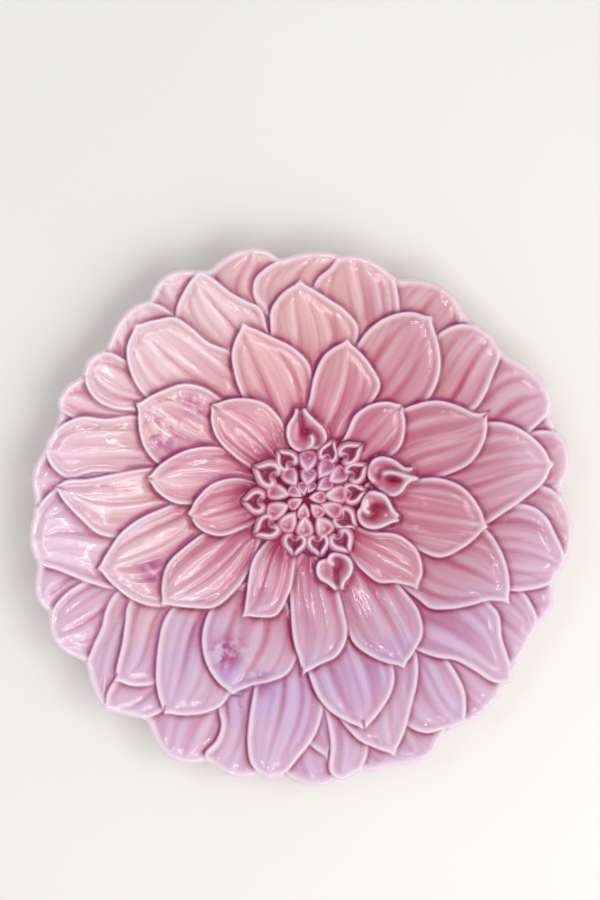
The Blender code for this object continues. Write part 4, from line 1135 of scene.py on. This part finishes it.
# The glaze over the face: clear and glossy over brushed rose, lilac and magenta
# stain. It breaks pale on the beads and runs dark into the grooves.
PEACH_ROSE = srgb(227, 173, 167)         # the ground, upper half
DUSTY_ROSE = srgb(222, 193, 210)         # and lower half
LILAC_ROSE = srgb(206, 182, 228)
PALE_BLUSH = srgb(232, 198, 202)         # towards the left, partly painted sheen
WARM_ROSE = srgb(196, 131, 156)          # towards the right, partly painted shade
RIM_LILAC = srgb(225, 190, 214)
INNER_ROSE = srgb(204, 120, 151)         # round the heart
SALMON_ROSE = srgb(222, 148, 142)
STREAK_SALMON = srgb(208, 128, 136)
STREAK_ROSE = srgb(198, 116, 146)
STREAK_LILAC = srgb(217, 196, 232)
PALE_PEACH = srgb(235, 199, 196)
DEEP_ROSE = srgb(172, 32, 86)            # the stain itself
BLOT_MAUVE = srgb(172, 62, 126)
POOL_WINE = srgb(149, 3, 65)             # stain pooled in the grooves
VIOLET_POOL_AND_SKY = srgb(148, 74, 172)
BEAD_CREAM = srgb(243, 222, 233)         # bare beads
BRUSH_STROKE = (0.26, 0.018, 0.37)       # fineness across the petal, along it, and by petal
WAVE_FINENESS = 95.0                     # slow waves in the glaze's own surface
WAVE_DEPTH = 0.0005                      # metres


def rose_glaze(name):
    glaze = Finish(name, 0.14, Coat_Weight=0.5, Coat_Roughness=0.04, IOR=1.4)

    def between(value, low, high):
        return glaze.node("MapRange", {"interpolation_type": "SMOOTHSTEP"},
                          {"Value": value, "From Min": low, "From Max": high})

    def laid(kind, output=2):
        return glaze.node("Attribute", {"attribute_name": kind}, output=output)

    place = glaze.place()
    bare, rose, pooled, violet, tone = (laid(kind) for kind in GLAZE)
    drift, cloud = glaze.noise(place, 7.0, 1.0), glaze.noise(place, 16.0, 3.0) - 0.5
    lilac_cloud = glaze.noise(place, 26.0, 2.0)
    daub, mottle = glaze.noise(place, 48.0, 2.0) - 0.5, glaze.noise(place, 210.0, 3.0) - 0.5
    streak = glaze.noise(glaze.node("Mapping", values={"Vector": laid("flow", 1), "Scale": BRUSH_STROKE}),
                         1.0, 3.0)

    # East, north and distance from the heart, which is 1 at the rim.
    east, north = ((glaze.node("SeparateXYZ", values={0: place}, output=axis) - 0.001 * HEART[axis])
                   / (0.001 * BOWL_RADIUS) for axis in (0, 1))
    reach = (east * east + north * north).power(0.5)

    # The ground changes round the bowl, and turns deeper towards the heart.
    low_half = between((drift - 0.5) - north - east * 0.3, -0.4, 0.75)
    lilac_side = low_half * between(reach, 0.3, 0.75)
    # Partly painted light: paler towards the left, painted sheen, and deeper towards the right, painted
    # shade.
    pale_side = between(north * 0.5 - east * 0.85 + cloud * 0.35, -0.1, 0.8)
    deep_side = between(east * 0.95 - north * 0.1 + cloud * 0.3, -0.1, 0.6)
    rim_side = between(reach + cloud * 0.25, 0.66, 0.96) * between(north, 1.0, 0.2)
    inner_ring = between(reach + cloud * 0.12, 0.70, 0.24)
    body = glaze.mix(PEACH_ROSE, DUSTY_ROSE, low_half)
    for tint, amount in (
            (LILAC_ROSE, between(lilac_cloud + lilac_side * 0.4, 0.72, 0.94)),
            (PALE_BLUSH, pale_side * 0.9),
            (WARM_ROSE, deep_side * between(reach, 1.25, 0.6) * (0.86 - low_half * 0.4)),
            (RIM_LILAC, rim_side * 0.8),
            (INNER_ROSE, inner_ring * 0.85),
            (SALMON_ROSE, (tone * 0.3 + daub * 0.5)
             * (1.0 - low_half * 0.75 - inner_ring * 0.25))):
        body = glaze.mix(body, tint, amount.clamped())

    # Brush strokes run along each petal, dark ones and pale ones.
    dark_stroke = glaze.mix(STREAK_SALMON, STREAK_ROSE,
                            (low_half + inner_ring + deep_side * 0.7).clamped())
    pale_stroke = glaze.mix(glaze.mix(PALE_PEACH, DUSTY_ROSE, low_half), STREAK_LILAC, lilac_side)
    dark_weight = 0.5 + inner_ring * 0.4 - low_half * 0.22
    body = glaze.mix(body, dark_stroke, between(streak, 0.52, 0.74) * dark_weight)
    body = glaze.mix(body, pale_stroke, between(streak, 0.49, 0.30) * (0.45 + low_half * 0.3))

    # The stain: rose, blots, then what has pooled; and the beads wiped bare.
    # The violet layer holds the real blots and, beside the grooves, a painted reflection of the sky; both
    # feed the blots and the violet of the pools.
    blot = (violet - pooled * 1.2).clamped() * between(daub + mottle * 0.6, -0.16, 0.04)
    wine = glaze.mix(POOL_WINE, VIOLET_POOL_AND_SKY,
                     (violet * (0.4 + low_half * 0.3) + cloud * 0.5).clamped())
    wiped = 0.76 + rim_side * 0.14 + inner_ring * 0.06
    for tint, amount in (
            (DEEP_ROSE, rose * (0.85 + daub * 0.25 + mottle * 0.28)),
            (BLOT_MAUVE, blot * 0.9),
            (wine, pooled * (1.0 + mottle * 0.1)),
            (BEAD_CREAM, bare * (wiped + daub * 0.5))):
        body = glaze.mix(body, tint, amount.clamped())
    glaze.paint("Base Color", body)
    glaze.paint("Normal", glaze.node("Bump", values={
        "Strength": 0.45, "Distance": WAVE_DEPTH, "Height": glaze.noise(place, WAVE_FINENESS, 1.0)}))
    glaze.paint("Coat Weight", 0.5 - (pooled * 0.6 + rose * 0.25).clamped() * 0.5)
    glaze.paint("Roughness", 0.11 + mottle * 0.06 + pooled * 0.04)
    return glaze.material


ROSE_GLAZE = rose_glaze("rose_glaze")

BACK_GLAZE = Finish("pale_back_glaze", 0.2, Coat_Weight=0.3)
back_cloud = BACK_GLAZE.noise(BACK_GLAZE.place(), 30.0, 4.0)
BACK_GLAZE.paint("Base Color", BACK_GLAZE.mix(srgb(232, 205, 214), srgb(243, 226, 230), back_cloud))

BARE_CLAY = Finish("bare_clay", 0.85)
grain = BARE_CLAY.noise(BARE_CLAY.place(), 900.0, 4.0)
BARE_CLAY.paint("Base Color", BARE_CLAY.mix(srgb(214, 196, 172), srgb(232, 219, 200), grain))
BARE_CLAY.paint("Normal", BARE_CLAY.node("Bump", values={
    "Strength": 0.5, "Distance": 0.0004, "Height": grain}))

bowl = shell("dahlia_face_and_back", coords, faces, clay,
             (ROSE_GLAZE, BACK_GLAZE.material, BARE_CLAY.material))
for layer, amounts in glaze.items():
    mark(bowl.data, layer, amounts)
mark(bowl.data, "flow", flow, "FLOAT_VECTOR")
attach(bowl, "root")
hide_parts("dahlia_bowl")


# The heart: closed florets and petals rolled in on themselves, each a small
# pressed shape standing on the bowl. Every kind is made once and set out in
# place, turned outwards, by one node tree.

# Rings of points from outside the outline, 0, to the middle line, 1.
FORM_RINGS = (-0.3, -0.22, -0.14, -0.07, 0.0, 0.07, 0.14, 0.21, 0.28,
              0.36, 0.45, 0.55, 0.67, 0.82, 1.0)
SKIRT_DEPTH = -4.0                       # the outermost ring, sunk in the bowl
ROLLED_SIZE, CLOSED_SIZE = (15.5, 13.5), (12.0, 9.6)            # millimetres
ROLLED_SPINE, CLOSED_SPINE = (-0.12, 0.34), (-0.24, 0.24)       # ends of the middle line
ROLLED_GROWN, CLOSED_GROWN = (1.06, 1.12), (1.21, 1.25)         # how far forms fill a seat
ROLLED_SLIT = np.array(((0.8, 0.0), (7.6, 0.0)))
ROLLED_MOUTH = (-3.9, -0.5)              # gap between its two lobes
STROKES_FINER = 3.0                      # than on the petals of the face
STAND = 0.001                            # metres the florets stand off the bowl


def rolled_section(x, y, depth):
    """A rolled petal: two thick lobes round a hollow, and a slit to its tip."""
    mouth = hump(np.hypot(x - ROLLED_MOUTH[0], y - ROLLED_MOUTH[1]) / 2.5)
    slit = hump(distance_to_line(np.column_stack([x, y]), ROLLED_SLIT) / 0.8)
    roll = hump((depth - 1.8) / 1.6) * (1 - 0.8 * mouth)
    hollow = smoothstep((depth - 2.5) / 1.4)
    height = 1.0 + 3.5 * roll - 1.1 * slit * (1 - hollow) - 1.3 * hollow
    bare = hump((depth - 1.5) / 1.3) * (1 - 0.95 * mouth) * (1 - 0.85 * slit)
    rose = (hollow + slit + mouth + smoothstep((0.6 - depth) / 1.2)
            + 0.35 * smoothstep((depth - 2.0) / 1.2))
    pooled = (0.75 * slit + 0.9 * mouth + 0.78 * smoothstep((depth - 2.7) / 1.3)
              + 0.85 * smoothstep((-0.1 - depth) / 0.9))
    return height, bare, rose, pooled


def closed_section(x, y, depth):
    """A closed floret: a low dome, pale along the two sides that meet at its point."""
    outward = smoothstep((x + 2.0) / 6.0)
    rim = hump((depth - 1.1) / (1.2 - 0.5 * outward)) * (1 - 0.75 * outward)
    top = smoothstep((depth - 1.5) / 1.6)
    crease = hump((y - 0.5) / 0.8) * smoothstep((x + 2.5) / 3.0) * top
    height = (0.3 + 3.0 * smoothstep((depth + 1.3) / 2.5) + 0.7 * rim
              - 0.45 * crease - 0.5 * outward * top)
    bare = 0.85 * rim + 0.25 * top * (1 - outward)
    rose = (0.34 + 0.36 * outward) * top + 0.4 * crease + smoothstep((0.6 - depth) / 1.1)
    pooled = 0.85 * smoothstep((0.1 - depth) / 0.9)
    return height, bare, rose, pooled


def floret_form(name, loop, size, spine, section):
    """A form one unit long and wide, in rings from a skirt to its middle line."""
    count = len(loop)
    middle = np.column_stack([np.clip(loop[:, 0], *spine), np.zeros(count)])
    flat = np.vstack([loop * (1 - part) + middle * part for part in FORM_RINGS])
    real = flat * size
    edge = distance_to_line(real, shut(loop) * size)
    depth = edge * np.where(np.arange(len(flat)) < FORM_RINGS.index(0.0) * count, -1.0, 1.0)
    height, *glazes = section(*real.T, depth)
    height[:count] = SKIRT_DEPTH
    first = np.arange(len(flat) - count)
    after = first + np.where(first % count == count - 1, 1 - count, 1)
    quads = np.column_stack([first, after, after + count, first + count]).tolist()
    mesh = bpy.data.meshes.new(name)
    mesh.from_pydata(np.column_stack([flat, height]).tolist(), [], [*quads, [*range(count)][::-1]])
    for layer, laid in zip(("bare", "rose", "pooled"), glazes):
        mark(mesh, layer, np.clip(laid, 0, 1))
    flow = STROKES_FINER * np.column_stack([real[:, 1], real[:, 0], np.zeros(len(real))])
    mark(mesh, "flow", flow, "FLOAT_VECTOR")
    cleaner = bmesh.new()
    cleaner.from_mesh(mesh)
    bmesh.ops.remove_doubles(cleaner, verts=cleaner.verts, dist=1e-4)
    bmesh.ops.recalc_face_normals(cleaner, faces=cleaner.faces)
    cleaner.to_mesh(mesh)
    cleaner.free()
    return bpy.data.objects.new(name, mesh)


forms = {
    "Rolled petal": floret_form("rolled_petal", ROLLED_OUTLINE, ROLLED_SIZE, ROLLED_SPINE,
                                rolled_section),
    "Closed floret": floret_form("closed_floret", CLOSED_OUTLINE, CLOSED_SIZE, CLOSED_SPINE,
                                 closed_section),
}

# One mesh point for each floret, with its turn, size and glaze.
kinds, centres, azimuths, lengths, widths = (np.array(row) for row in zip(*florets))
azimuths, closed = np.radians(azimuths), kinds == "closed"
heights = press_face(centres, petals, curls, [])[0]
seats_mesh = bpy.data.meshes.new("floret_seats")
seats_mesh.from_pydata((0.001 * np.column_stack([centres, heights])).tolist(), [], [])
grown = np.where(closed[:, None], CLOSED_GROWN, ROLLED_GROWN)
draw = np.random.default_rng(9)
for name, values in {
        "closed": closed,
        "turn": azimuths,
        "long": 0.001 * lengths * grown[:, 0],
        "wide": 0.001 * widths * grown[:, 1],
        "tall": 0.001 * (0.72 + 0.022 * widths),
        "tone": draw.uniform(-1, 1, len(florets))}.items():
    mark(seats_mesh, name, values)
# Violet on the florets: a little on each, and more on closed ones that point towards 60 degrees, a painted
# reflection of the sky.
skyward = closed * np.cos(azimuths - math.radians(60)) * draw.uniform(0.4, 1.0, len(florets))
mark(seats_mesh, "violet", np.clip(0.22 + 0.8 * skyward, 0, 1))


def floret_tree():
    """Sets each kind of floret on its own seats."""
    tree = bpy.data.node_groups.new("set_out_florets", "GeometryNodeTree")
    wanted = {"Seats": "Geometry", "Closed floret": "Object", "Rolled petal": "Object",
              "Stand": "Float", "Glaze": "Material"}
    for name, kind in wanted.items():
        tree.interface.new_socket(name, in_out="INPUT", socket_type="NodeSocket" + kind)
    tree.interface.new_socket("Florets", in_out="OUTPUT", socket_type="NodeSocketGeometry")
    entry, leave = tree.nodes.new("NodeGroupInput"), tree.nodes.new("NodeGroupOutput")
    given = {name: Socket(tree, entry.outputs[name]) for name in wanted}

    def stored(name):
        return add_node(tree, "GeometryNodeInputNamedAttribute", {"data_type": "FLOAT"},
                        {"Name": name}, "Attribute")

    def vector(**parts):
        return add_node(tree, "ShaderNodeCombineXYZ", values=parts)

    seats = add_node(tree, "GeometryNodeSetPosition", values={
        "Geometry": given["Seats"], "Offset": vector(Z=given["Stand"])})
    turn = vector(Z=stored("turn"))
    size = vector(X=stored("long"), Y=stored("wide"), Z=stored("tall"))
    both = tree.nodes.new("GeometryNodeJoinGeometry")
    for form, is_closed in (("Closed floret", 1.0), ("Rolled petal", 0.0)):
        chosen = add_node(
            tree, "FunctionNodeCompare", {"data_type": "FLOAT", "operation": "EQUAL"},
            {"A": stored("closed"), "B": is_closed, "Epsilon": 0.1}, "Result")
        shape = add_node(tree, "GeometryNodeObjectInfo", values={"Object": given[form]},
                         output="Geometry")
        join(tree, both.inputs["Geometry"], add_node(tree, "GeometryNodeInstanceOnPoints", values={
            "Points": seats, "Selection": chosen, "Instance": shape,
            "Rotation": turn, "Scale": size}))
    real = add_node(tree, "GeometryNodeRealizeInstances",
                    values={"Geometry": Socket(tree, both.outputs["Geometry"])})
    join(tree, leave.inputs["Florets"], add_node(
        tree, "GeometryNodeSetMaterial", values={"Geometry": real, "Material": given["Glaze"]}))
    return tree


def settle(holder, tree, values):
    """Run a tree on an object and keep the result as a plain mesh."""
    modifier = holder.modifiers.new("set_out", "NODES")
    modifier.node_group = tree
    for item in tree.interface.items_tree:
        if item.name in values:
            modifier[item.identifier] = values[item.name]
    graph = bpy.context.evaluated_depsgraph_get()
    mesh = bpy.data.meshes.new_from_object(holder.evaluated_get(graph))
    holder.modifiers.remove(modifier)
    holder.data = mesh
    mesh.polygons.foreach_set("use_smooth", np.ones(len(mesh.polygons), dtype=bool))


heart_florets = add("florets", seats_mesh)
settle(heart_florets, floret_tree(), {**forms, "Stand": STAND, "Glaze": ROSE_GLAZE})
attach(heart_florets, "root")
